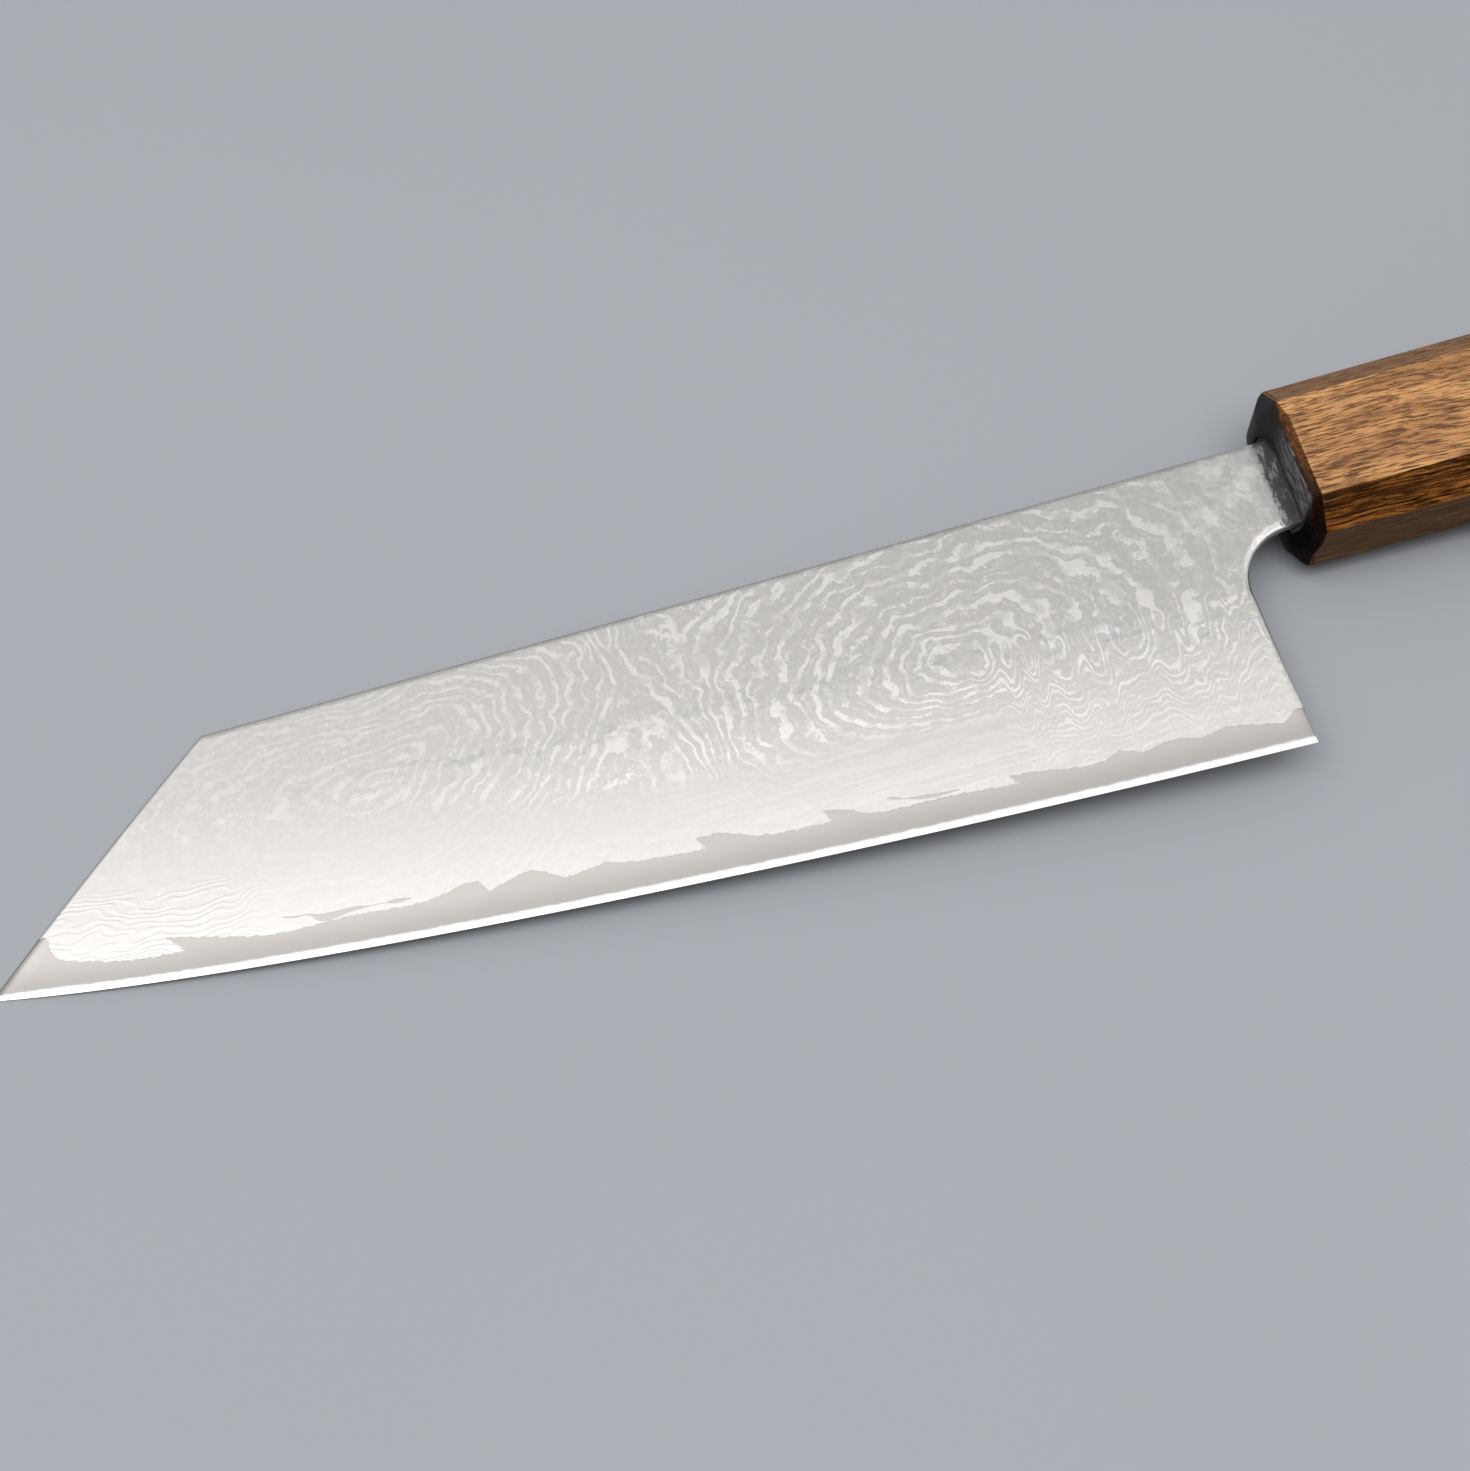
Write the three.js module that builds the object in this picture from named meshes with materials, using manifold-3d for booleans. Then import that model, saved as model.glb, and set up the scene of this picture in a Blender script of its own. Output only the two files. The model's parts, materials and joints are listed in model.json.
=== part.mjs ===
import * as THREE from "three";
import { mergeVertices } from "three/addons/utils/BufferGeometryUtils.js";
import Module from "manifold-3d";

// A bunka kitchen knife with a hidden tang and an octagonal handle, lying on its right face.
// Millimetres. The knife is shaped along its handle: x runs from the tip to the butt, y from the
// edge to the spine and z out of the left face. Zero is on the handle's axis, where its front
// chamfer ends and the crown of its front end begins.

// Blade outline
const EDGE_LENGTH = 180; // heel to tip in a straight line
const TIP_RISE = 15; // tip above the heel
const HEEL_AHEAD = 9.4; // heel in front of the handle
const HEEL_HEIGHT = 45; // heel to spine
const HEEL_PULL = { along: 0.4, rise: 2.4 }; // controls of the edge's curve: share of the run, rise
const TIP_PULL = { along: 0.82, rise: 8.2 };
const POINT_RUN = 34; // length of the clipped point along the knife
const POINT_BULGE = 0.3; // how far the clipped point stands out of a straight line
const SPINE_ABOVE_AXIS = 6.3; // spine over the handle's axis, at the handle
const SPINE_DROP = 0.8; // fall of the spine from the handle to the clipped point
const NECK_HEIGHT = 13.7;
const CHOIL_RADIUS = 8.3; // round from the neck's underside into the heel
const CHOIL_AHEAD = 10.7; // foremost reach of that round
const HEEL_HOLLOW = 0.3; // how far the back of the heel is drawn in from a straight line

// Blade section
const SPINE_AT_HEEL = 2.1; // thickness of the spine over the heel
const SPINE_AT_POINT = 1.3; // thickness of the spine at the clipped point
const SPINE_ROUND = { height: 1, depth: 0.45 }; // eased corners of the spine
const SHOULDER_HEIGHT = 23.5; // where the flat face turns into the ground bevel, above the edge
const FACE_TAPER = 0.2; // thickness lost from the spine down to that shoulder, over the heel
const GRIND_SWELL = 0.6; // 0 is a flat bevel, 1 the fullest convex one
const BEVEL_HEIGHT = 1.3; // final cutting bevel
const BEVEL_THICKNESS = 0.44; // blade thickness just behind it
const EDGE_LAND = 0.02; // width left at the very edge

// Laminate: the core's thickness and the lower lines of the two claddings,
// each point as hundredths of the edge's run from the heel, and height above the edge.
const CORE_AT_HEEL = 0.6;
const CORE_AT_TIP = 0.38;
const LEFT_LINE = [
  [95.5, 8.2], [95.2, 5.8], [91.7, 4.1], [89, 3.6], [85, 3.9],
  [86.7, 6], [81.5, 4.7], [78.8, 4.3], [68.2, 5.2], [63.3, 6.2], [62.5, 4.7],
  [59.4, 6.3], [57.3, 4.6], [53.7, 5.1], [45.8, 4],
  [46.8, 6.1], [42.9, 4.7], [39.7, 4.2], [35.9, 4.2],
  [36.9, 6], [33.3, 4.1], [26.8, 4.9], [23.1, 5.6], [17.8, 4.4],
  [14.7, 5.1], [11, 5.2], [4.8, 5], [2, 4], [0.5, 5.4],
];
const RIGHT_LINE = [
  [95, 8], [93, 5.2], [86, 4.3], [78, 5.6], [77, 4.4], [66, 5.2], [60, 6], [58.5, 4.4],
  [48, 4.9], [41, 5.9], [39.5, 4.3], [30, 4.8], [22, 5.7], [20.5, 4.4], [12, 5.1], [5, 4.6], [0.5, 5.2],
];

// Tang
const NECK_DEPTH = 4; // the neck's full height goes this far into the handle
const TANG_LENGTH = 98; // from the handle's front end
const TANG_SHOULDER = 1.6; // step from the neck to the tang, above and below
const TANG_END_HEIGHT = 6;
const TANG_END_THICKNESS = 1.6;
const TANG_END_ROUND = 2;

// Handle
const HANDLE_LENGTH = 135;
const HANDLE_FRONT = { height: 23.4, width: 18, facet: 4.1 };
const HANDLE_REAR = { height: 26, width: 20, facet: 4.6 };
const FRONT_CHAMFER = 1.2;
const FRONT_CROWN = 1.2; // the front end swells this far past its chamfer
const CROWN_FLAT = 2.5; // half width of the crown's flat middle
const CROWN_POWER = 3; // how sharply the crown falls away towards the chamfer
const REAR_CHAMFER = 1.5;

// Resin round the tang, and the filler at the mouth
const GLUE_LINE = 0.9; // resin thickness beside the tang
const GLUE_END = 3; // resin behind the tang's end
const SEAL_DEPTH = 2.5;
const SEAL_SUNK = 0.4; // the filler lies this far below the crown

// Clearances between touching pieces
const WELD_GAP = 0.02; // core to cladding
const BOND_GAP = 0.03; // resin and filler to steel and wood

// Fineness of the facets
const EDGE_STEPS = 30;
const GRIND_STEPS = 5;
const ROUND_STEPS = 3;
const CROWN_STEPS = 4;
const ARC_STEPS = 10;
const HALVINGS = 40; // steps of the search along the edge's curve
const MERGE_WITHIN = 1e-4; // points closer than this are one point

// How far cutting bodies reach past what they cut, and the ground bar past the tip
const CUT_MARGIN = 20;
const BAR_PAST_TIP = 5;

const wasm = await Module();
wasm.setup();

const heelX = -HEEL_AHEAD;
const heelY = SPINE_ABOVE_AXIS - HEEL_HEIGHT;
const edgeRun = Math.sqrt(EDGE_LENGTH ** 2 - TIP_RISE ** 2);
const tipX = heelX - edgeRun;
const tipY = heelY + TIP_RISE;
const pointX = tipX + POINT_RUN;
const neckBottom = SPINE_ABOVE_AXIS - NECK_HEIGHT;
const neckMiddle = SPINE_ABOVE_AXIS - NECK_HEIGHT / 2;

const edgeCurve = new THREE.CubicBezierCurve(
  new THREE.Vector2(heelX, heelY),
  new THREE.Vector2(heelX - HEEL_PULL.along * edgeRun, heelY + HEEL_PULL.rise),
  new THREE.Vector2(heelX - TIP_PULL.along * edgeRun, heelY + TIP_PULL.rise),
  new THREE.Vector2(tipX, tipY),
);

function spineY(x) {
  return SPINE_ABOVE_AXIS + (SPINE_DROP * Math.min(x, 0)) / -pointX;
}

// Height of the edge at x, found on its curve by halving.
function edgeY(x) {
  let low = 0;
  let high = 1;
  for (let i = 0; i < HALVINGS; i++) {
    const middle = (low + high) / 2;
    if (edgeCurve.getPoint(middle).x > x) low = middle;
    else high = middle;
  }
  return edgeCurve.getPoint(low).y;
}

// Half thickness of the flat upper face: a plane over the blade, another along the tang.
function faceHalf(x, y) {
  const taper = (SPINE_AT_HEEL - SPINE_AT_POINT) / 2 / (heelX - pointX);
  const lean = FACE_TAPER / 2 / (HEEL_HEIGHT - SHOULDER_HEIGHT);
  const onBlade = SPINE_AT_HEEL / 2 + taper * (Math.min(x, NECK_DEPTH) - heelX);
  const tangFall = (onBlade - TANG_END_THICKNESS / 2) / (TANG_LENGTH - NECK_DEPTH);
  return onBlade - tangFall * Math.max(x - NECK_DEPTH, 0) + lean * (y - SPINE_ABOVE_AXIS);
}

function coreHalf(x) {
  const fall = (CORE_AT_HEEL - CORE_AT_TIP) / 2 / edgeRun;
  return CORE_AT_HEEL / 2 + fall * (x - heelX);
}

// Solids from closed geometry and back

function solidFrom(geometry) {
  geometry.deleteAttribute("normal");
  geometry.deleteAttribute("uv");
  const merged = mergeVertices(geometry, MERGE_WITHIN);
  return new wasm.Manifold(
    new wasm.Mesh({
      numProp: 3,
      vertProperties: merged.attributes.position.array,
      triVerts: new Uint32Array(merged.index.array),
    }),
  );
}

function geometryFrom(solid) {
  const mesh = solid.getMesh();
  const geometry = new THREE.BufferGeometry();
  geometry.setAttribute("position", new THREE.BufferAttribute(mesh.vertProperties, 3));
  geometry.setIndex(new THREE.BufferAttribute(mesh.triVerts, 1));
  geometry.computeVertexNormals();
  return geometry;
}

// A closed body through rings of points that follow each other along +x, each ring turning from y to z.
function loft(rings) {
  const count = rings[0].length;
  const index = [];
  for (let r = 0; r < rings.length - 1; r++) {
    for (let i = 0; i < count; i++) {
      const a = r * count + i;
      const b = r * count + ((i + 1) % count);
      index.push(a, b, a + count, b, b + count, a + count);
    }
  }
  const last = (rings.length - 1) * count;
  for (let i = 1; i < count - 1; i++) {
    index.push(0, i + 1, i);
    index.push(last, last + i, last + i + 1);
  }
  const geometry = new THREE.BufferGeometry().setFromPoints(rings.flat());
  geometry.setIndex(index);
  return geometry;
}

// A straight-sided body of an outline in x and y, between two heights.
function prism(shape, low, high) {
  const options = { depth: high - low, bevelEnabled: false, curveSegments: ARC_STEPS };
  return new THREE.ExtrudeGeometry(shape, options).translate(0, 0, low);
}

// Blade

// Closed section of the blade at x: down the left face from spine to edge, and back up the right one.
function bladeRing(x, edge) {
  const top = spineY(x);
  const left = [];
  for (let i = ROUND_STEPS; i >= 0; i--) {
    const turn = ((Math.PI / 2) * i) / ROUND_STEPS;
    const y = top - SPINE_ROUND.height * (1 - Math.sin(turn));
    left.push([y, faceHalf(x, y) - SPINE_ROUND.depth * (1 - Math.cos(turn))]);
  }
  const shoulder = edge + SHOULDER_HEIGHT;
  const behindEdge = BEVEL_THICKNESS / 2;
  const swell = faceHalf(x, shoulder) - behindEdge;
  for (let i = GRIND_STEPS; i >= 0; i--) {
    const u = i / GRIND_STEPS;
    const y = edge + BEVEL_HEIGHT + (SHOULDER_HEIGHT - BEVEL_HEIGHT) * u;
    left.push([y, behindEdge + swell * u * (1 + GRIND_SWELL * (1 - u))]);
  }
  left.push([edge, EDGE_LAND / 2]);
  const right = left.map(([y, z]) => [y, -z]).reverse();
  return left.concat(right).map(([y, z]) => new THREE.Vector3(x, y, z));
}

// The ground bar that the outline is cut from, with the finished section all along.
function groundBar() {
  const stations = edgeCurve.getPoints(EDGE_STEPS).reverse();
  const lead = edgeCurve.getTangent(1);
  const past = new THREE.Vector2(tipX, tipY).addScaledVector(lead, BAR_PAST_TIP);
  const rings = [past, ...stations].map((p) => bladeRing(p.x, p.y));
  for (const x of [0, NECK_DEPTH, TANG_LENGTH + CUT_MARGIN]) rings.push(bladeRing(x, heelY));
  return solidFrom(loft(rings));
}

// Outline of blade and tang. It passes below the edge and above the spine, which the bar already has.
function bladeOutline() {
  const point = new THREE.Vector2(pointX, spineY(pointX));
  const tip = new THREE.Vector2(tipX, tipY);
  const along = point.clone().sub(tip).normalize();
  const outward = new THREE.Vector2(-along.y, along.x);
  const bulge = tip.clone().lerp(point, 0.5).addScaledVector(outward, 2 * POINT_BULGE);
  const below = tip.clone().addScaledVector(along, -CUT_MARGIN);
  const above = point.clone().addScaledVector(along, CUT_MARGIN);
  const choilCentre = new THREE.Vector2(CHOIL_RADIUS - CHOIL_AHEAD, neckBottom - CHOIL_RADIUS);
  const hollow = new THREE.Vector2(heelX - CHOIL_AHEAD, heelY + choilCentre.y).divideScalar(2);
  hollow.x -= 2 * HEEL_HOLLOW;
  const tangTop = SPINE_ABOVE_AXIS - TANG_SHOULDER;
  const tangBottom = neckBottom + TANG_SHOULDER;
  const endTop = neckMiddle + TANG_END_HEIGHT / 2;
  const endBottom = neckMiddle - TANG_END_HEIGHT / 2;
  const shape = new THREE.Shape();
  shape.moveTo(below.x, below.y);
  shape.lineTo(heelX, heelY - CUT_MARGIN);
  shape.lineTo(heelX, heelY);
  shape.quadraticCurveTo(hollow.x, hollow.y, -CHOIL_AHEAD, choilCentre.y);
  shape.absarc(choilCentre.x, choilCentre.y, CHOIL_RADIUS, Math.PI, Math.PI / 2, true);
  shape.lineTo(NECK_DEPTH, neckBottom);
  shape.lineTo(NECK_DEPTH, tangBottom);
  shape.lineTo(TANG_LENGTH - TANG_END_ROUND, endBottom);
  shape.quadraticCurveTo(TANG_LENGTH, endBottom, TANG_LENGTH, endBottom + TANG_END_ROUND);
  shape.lineTo(TANG_LENGTH, endTop - TANG_END_ROUND);
  shape.quadraticCurveTo(TANG_LENGTH, endTop, TANG_LENGTH - TANG_END_ROUND, endTop);
  shape.lineTo(NECK_DEPTH, tangTop);
  shape.lineTo(NECK_DEPTH, above.y);
  shape.lineTo(above.x, above.y);
  shape.lineTo(point.x, point.y);
  shape.quadraticCurveTo(bulge.x, bulge.y, tip.x, tip.y);
  return shape;
}

function bladeBlank() {
  const outline = solidFrom(prism(bladeOutline(), -SPINE_AT_HEEL, SPINE_AT_HEEL));
  return groundBar().intersect(outline);
}

// The layer of the blade's thickness that belongs to the core, widened by a gap on both faces.
function coreSlab(gap) {
  const ring = (x) => {
    const half = coreHalf(x) + gap;
    const reach = HEEL_HEIGHT + CUT_MARGIN;
    const corners = [[reach, -half], [reach, half], [-reach, half], [-reach, -half]];
    return corners.map(([y, z]) => new THREE.Vector3(x, y, z));
  };
  return solidFrom(loft([ring(tipX - CUT_MARGIN), ring(TANG_LENGTH + CUT_MARGIN)]));
}

// Points of a line moved square to it by a gap, to the right of its run, with mitred corners.
function besideLine(points, gap) {
  const sideways = points.slice(1).map((p, i) => {
    const run = p.clone().sub(points[i]).normalize();
    return new THREE.Vector2(run.y, -run.x);
  });
  return points.map((p, i) => {
    const before = sideways[Math.max(i - 1, 0)];
    const after = sideways[Math.min(i, sideways.length - 1)];
    const mitre = before.clone().add(after);
    return p.clone().addScaledVector(mitre, (2 * gap) / mitre.lengthSq());
  });
}

// Everything on one side of the blade above that side's cladding line, grown past the line by a gap.
function claddingSide(line, side, gap) {
  const points = besideLine(
    line.map(([along, height]) => {
      const x = heelX - (along / 100) * edgeRun;
      return new THREE.Vector2(x, edgeY(x) + height);
    }),
    gap,
  );
  const first = points[0];
  const last = points[points.length - 1];
  const top = SPINE_ABOVE_AXIS + CUT_MARGIN;
  const behind = TANG_LENGTH + CUT_MARGIN;
  const ahead = tipX - CUT_MARGIN;
  points.push(new THREE.Vector2(behind, last.y), new THREE.Vector2(behind, top));
  points.push(new THREE.Vector2(ahead, top), new THREE.Vector2(ahead, first.y));
  const reach = SPINE_AT_HEEL;
  const shape = new THREE.Shape(points);
  return solidFrom(side > 0 ? prism(shape, 0, reach) : prism(shape, -reach, 0));
}

// Handle

// Octagon across the handle at x, drawn in by a chamfer.
function octagon(x, { height, width, facet }, inset) {
  const y = height / 2 - inset;
  const z = width / 2 - inset;
  const cut = facet - inset * (2 - Math.SQRT2);
  const corners = [
    [y, -(z - cut)], [y, z - cut], [y - cut, z], [-(y - cut), z],
    [-y, z - cut], [-y, -(z - cut)], [-(y - cut), -z], [y - cut, -z],
  ];
  return corners.map(([b, c]) => new THREE.Vector3(x, b, c));
}

// Sizes of the octagon at x, between the front and rear ones.
function handleSize(x) {
  const share = x / HANDLE_LENGTH;
  const between = (key) => HANDLE_FRONT[key] + (HANDLE_REAR[key] - HANDLE_FRONT[key]) * share;
  return { height: between("height"), width: between("width"), facet: between("facet") };
}

// Octagons of the crowned front end, from its flat middle out to the chamfer.
function crownRings() {
  const widest = HANDLE_FRONT.width / 2 - CROWN_FLAT;
  const rings = [];
  for (let i = CROWN_STEPS; i >= 0; i--) {
    const share = i / CROWN_STEPS;
    const inset = FRONT_CHAMFER + (widest - FRONT_CHAMFER) * share;
    rings.push(octagon(-FRONT_CROWN * (1 - (1 - share) ** CROWN_POWER), handleSize(0), inset));
  }
  return rings;
}

function handleBlock() {
  const rearShoulder = HANDLE_LENGTH - REAR_CHAMFER;
  return solidFrom(
    loft([
      ...crownRings(),
      octagon(FRONT_CHAMFER, handleSize(FRONT_CHAMFER), 0),
      octagon(rearShoulder, handleSize(rearShoulder), 0),
      octagon(HANDLE_LENGTH, handleSize(HANDLE_LENGTH), REAR_CHAMFER),
    ]),
  );
}

// Round-ended slot across the handle at x.
function slotRing(x, height, width) {
  const radius = width / 2;
  const reach = height / 2 - radius;
  const ring = [];
  for (const end of [1, -1]) {
    for (let i = 0; i <= ARC_STEPS; i++) {
      const turn = (-end * Math.PI) / 2 + (Math.PI * i) / ARC_STEPS;
      const y = neckMiddle + end * reach + radius * Math.cos(turn);
      ring.push(new THREE.Vector3(x, y, radius * Math.sin(turn)));
    }
  }
  return ring;
}

// Body in the shape of the mortise between two depths, drawn in by a gap.
function mortiseBody(from, to, gap) {
  const depth = TANG_LENGTH + GLUE_END;
  const mouth = { height: NECK_HEIGHT + 2 * GLUE_LINE, width: SPINE_AT_HEEL + 2 * GLUE_LINE };
  const end = { height: TANG_END_HEIGHT + 2 * GLUE_LINE, width: TANG_END_THICKNESS + 2 * GLUE_LINE };
  const ring = (x) => {
    const share = Math.max(x - NECK_DEPTH, 0) / (depth - NECK_DEPTH);
    const height = mouth.height + (end.height - mouth.height) * share;
    const width = mouth.width + (end.width - mouth.width) * share;
    return slotRing(x, height - 2 * gap, width - 2 * gap);
  };
  const stops = [from, NECK_DEPTH, to].filter((x) => x >= from && x <= to);
  return solidFrom(loft(stops.map(ring)));
}

// The blade's neck and tang, swollen by a gap, as the hollow that they leave in resin and filler.
function tangHollow(gap) {
  const ring = (x, top, bottom, half) => {
    const corners = [[top, -half], [top, half], [bottom, half], [bottom, -half]];
    return corners.map(([y, z]) => new THREE.Vector3(x, y, z));
  };
  const neckHalf = faceHalf(NECK_DEPTH, SPINE_ABOVE_AXIS) + gap;
  const endHalf = faceHalf(TANG_LENGTH, SPINE_ABOVE_AXIS) + gap;
  const neckTop = SPINE_ABOVE_AXIS + gap;
  const neckUnder = neckBottom - gap;
  const endReach = TANG_END_HEIGHT / 2 + gap;
  const shoulder = NECK_DEPTH + gap;
  const neck = [
    ring(-HEEL_AHEAD, neckTop, neckUnder, neckHalf),
    ring(shoulder, neckTop, neckUnder, neckHalf),
  ];
  const tang = [
    ring(-HEEL_AHEAD, neckTop - TANG_SHOULDER, neckUnder + TANG_SHOULDER, neckHalf),
    ring(shoulder, neckTop - TANG_SHOULDER, neckUnder + TANG_SHOULDER, neckHalf),
    ring(TANG_LENGTH + gap, neckMiddle + endReach, neckMiddle - endReach, endHalf),
  ];
  return solidFrom(loft(neck)).add(solidFrom(loft(tang)));
}

// Filler that closes the mouth of the mortise round the neck.
function sealBody() {
  return mortiseBody(SEAL_SUNK - FRONT_CROWN, SEAL_DEPTH, BOND_GAP).subtract(tangHollow(BOND_GAP));
}

// Assembly

const coreMaterial = new THREE.MeshStandardMaterial({ color: 0xc4c0bd, metalness: 1, roughness: 0.45 });
const claddingMaterial = new THREE.MeshStandardMaterial({ color: 0xcfcdcb, metalness: 1, roughness: 0.3 });
const oakMaterial = new THREE.MeshStandardMaterial({ color: 0x9a6a3c, metalness: 0, roughness: 0.5 });
const resinMaterial = new THREE.MeshStandardMaterial({ color: 0x8a7a5c, metalness: 0, roughness: 0.6 });
const fillerMaterial = new THREE.MeshStandardMaterial({ color: 0x2d2b2a, metalness: 0, roughness: 0.6 });

const blank = bladeBlank();
const leftPocket = claddingSide(LEFT_LINE, 1, WELD_GAP).subtract(coreSlab(0));
const rightPocket = claddingSide(RIGHT_LINE, -1, WELD_GAP).subtract(coreSlab(0));
const claddingLayers = blank.subtract(coreSlab(WELD_GAP));
const resin = mortiseBody(SEAL_DEPTH + BOND_GAP, TANG_LENGTH + GLUE_END - BOND_GAP, BOND_GAP);

const pieces = [
  ["core_steel", blank.subtract(leftPocket).subtract(rightPocket), coreMaterial],
  ["cladding_left", claddingLayers.intersect(claddingSide(LEFT_LINE, 1, 0)), claddingMaterial],
  ["cladding_right", claddingLayers.intersect(claddingSide(RIGHT_LINE, -1, 0)), claddingMaterial],
  ["handle_body", handleBlock().subtract(mortiseBody(-CUT_MARGIN, TANG_LENGTH + GLUE_END, 0)), oakMaterial],
  ["tang_bedding", resin.subtract(tangHollow(BOND_GAP)), resinMaterial],
  ["mouth_seal", sealBody(), fillerMaterial],
];

const lying = new THREE.Group();
for (const [name, solid, material] of pieces) {
  const mesh = new THREE.Mesh(geometryFrom(solid), material);
  mesh.name = name;
  lying.add(mesh);
}

// At rest the knife leans on its tip and on the lower front edge of the handle.
const handleContact = { x: FRONT_CHAMFER, z: -handleSize(FRONT_CHAMFER).width / 2 };
const tipContact = { x: tipX, z: -EDGE_LAND / 2 };
lying.rotation.y = -Math.atan2(tipContact.z - handleContact.z, handleContact.x - tipContact.x);

const box = new THREE.Box3().setFromObject(lying, true);
const middle = box.getCenter(new THREE.Vector3());
lying.position.set(-middle.x, -middle.y, -box.min.z);

const knife = new THREE.Group();
knife.add(lying);

export default knife;
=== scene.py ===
import json
import math

import bpy
import numpy as np
from mathutils import Matrix, Vector
from mathutils.geometry import delaunay_2d_cdt
from mathutils.kdtree import KDTree


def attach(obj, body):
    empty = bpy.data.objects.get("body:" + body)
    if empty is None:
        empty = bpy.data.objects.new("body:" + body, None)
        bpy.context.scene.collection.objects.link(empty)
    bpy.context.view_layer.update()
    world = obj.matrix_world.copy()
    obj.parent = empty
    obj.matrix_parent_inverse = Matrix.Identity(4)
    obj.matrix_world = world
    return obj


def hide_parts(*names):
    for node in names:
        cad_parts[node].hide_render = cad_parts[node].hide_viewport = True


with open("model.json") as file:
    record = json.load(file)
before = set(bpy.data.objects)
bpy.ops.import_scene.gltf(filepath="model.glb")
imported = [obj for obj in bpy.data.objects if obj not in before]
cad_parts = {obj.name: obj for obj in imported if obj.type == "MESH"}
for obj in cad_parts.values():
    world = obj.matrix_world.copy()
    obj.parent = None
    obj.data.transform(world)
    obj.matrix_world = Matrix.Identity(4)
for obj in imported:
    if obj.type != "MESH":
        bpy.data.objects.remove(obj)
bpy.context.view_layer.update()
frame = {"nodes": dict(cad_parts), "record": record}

# Bunka knife lying on its right face, tip to the left.
# Sizes are mm along the knife: x to the butt, y from edge to spine, z out of the left face.
mm = 0.001
fullTurn = 6.28  # radians, for waves round a line
scene = bpy.context.scene
scene.view_settings.view_transform = "Standard"


# where the knife lies, read from the flat of the butt
buttMount = {"name": "butt_end", "spot": Vector((135, 3, 2))}  # its point, measured on the knife


def knifePlace():
    found = next(m for m in frame["record"]["mounts"] if m["name"] == buttMount["name"])
    along = Vector(found["axis"]).normalized()
    spineWard = Vector((0, 1, 0))
    faceWard = along.cross(spineWard)
    turn = Matrix((along, spineWard, faceWard)).transposed()
    place = turn.to_4x4()
    place.translation = Vector(found["pos_m"]) - turn @ (buttMount["spot"] * mm)
    return place


place = knifePlace()
print("knife lies at", [round(v / mm, 2) for v in place.translation], "mm")


# nodes for the materials

bench = {}  # the node tree in hand


def newMaterial(name):
    material = bpy.data.materials.new(name)
    material.use_nodes = True
    bench["tree"] = material.node_tree
    return material, material.node_tree.nodes["Principled BSDF"].inputs


def add(kind, inputs=None, **settings):
    made = bench["tree"].nodes.new("ShaderNode" + kind)
    for key, value in settings.items():
        setattr(made, key, value)
    for key, value in (inputs or {}).items():
        feed(made.inputs[key], value)
    return made


def feed(socket, value):
    if isinstance(value, bpy.types.NodeSocket):
        socket.id_data.links.new(value, socket)
    else:
        socket.default_value = value


def sums(operation, a, b=0.0):
    return add("Math", {0: a, 1: b}, operation=operation).outputs[0]


def chain(operation):  # the same sum over two or more values
    def work(first, *others):
        for other in others:
            first = sums(operation, first, other)
        return first
    return work


times, plus, minus, over, larger = map(chain, ("MULTIPLY", "ADD", "SUBTRACT", "DIVIDE", "MAXIMUM"))


def vectors(operation, a, b=(0, 0, 0)):
    return add("VectorMath", {0: a, 1: b}, operation=operation).outputs[0]


def ramp(value, low, high, toLow=0.0, toHigh=1.0, kind="SMOOTHSTEP"):
    sockets = {"Value": value, "From Min": low, "From Max": high, "To Min": toLow, "To Max": toHigh}
    return add("MapRange", sockets, interpolation_type=kind).outputs[0]


def blend(share, a, b, kind="MIX"):
    mixed = add("Mix", data_type="RGBA", blend_type=kind)
    for socket, value in ((mixed.inputs[0], share), (mixed.inputs[6], a), (mixed.inputs[7], b)):
        feed(socket, (*value, 1) if isinstance(value, tuple) and len(value) == 3 else value)
    return mixed.outputs[2]


def scaled(vector, by):
    return add("VectorMath", {0: vector, "Scale": by}, operation="SCALE").outputs[0]


def dot(a, b):
    return add("VectorMath", {0: a, 1: b}, operation="DOT_PRODUCT").outputs["Value"]


def axes(vector):
    return add("SeparateXYZ", {0: vector}).outputs


def knifeCoords():  # place on the knife in mm
    return scaled(add("TexCoord").outputs["Object"], 1 / mm)


def readMarks(name):
    return add("Attribute", attribute_name=name).outputs["Fac"]


def stretched(coords, scale, shift=(0, 0, 0), turn=(0, 0, 0)):
    sockets = {"Vector": coords, "Location": shift, "Rotation": turn, "Scale": scale}
    return add("Mapping", sockets).outputs[0]


def noise(coords, scale, detail=2.0, rough=0.5, bend=0.0, out="Fac"):
    sockets = {"Vector": coords, "Scale": scale, "Detail": detail, "Roughness": rough, "Distortion": bend}
    return add("TexNoise", sockets).outputs[out]


def drawnNoise(coords, scale, detail=2.0, rough=0.5, shift=(0, 0, 0)):
    return noise(stretched(coords, scale, shift), 1.0, detail, rough)


def spreadTo(grey, low, high, kind="SMOOTHSTEP"):  # the usual span of a noise
    return ramp(grey, 0.3, 0.7, low, high, kind)


def swing(grey, reach, kind="SMOOTHSTEP"):
    return spreadTo(grey, -reach, reach, kind)


def pushed(coords, source, scale, detail, reach):  # coords moved about by a noise
    push = vectors("SUBTRACT", noise(source, scale, detail, out="Color"), (0.5, 0.5, 0.5))
    return vectors("ADD", coords, vectors("MULTIPLY", push, reach))


def raised(shader, height, strength, depth):
    sockets = {"Height": height, "Strength": strength, "Distance": depth * mm}
    feed(shader["Normal"], add("Bump", sockets).outputs[0])


# plane geometry of outlines, arrays of x and y

def lengths(v):
    return np.linalg.norm(v, axis=-1)


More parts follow.
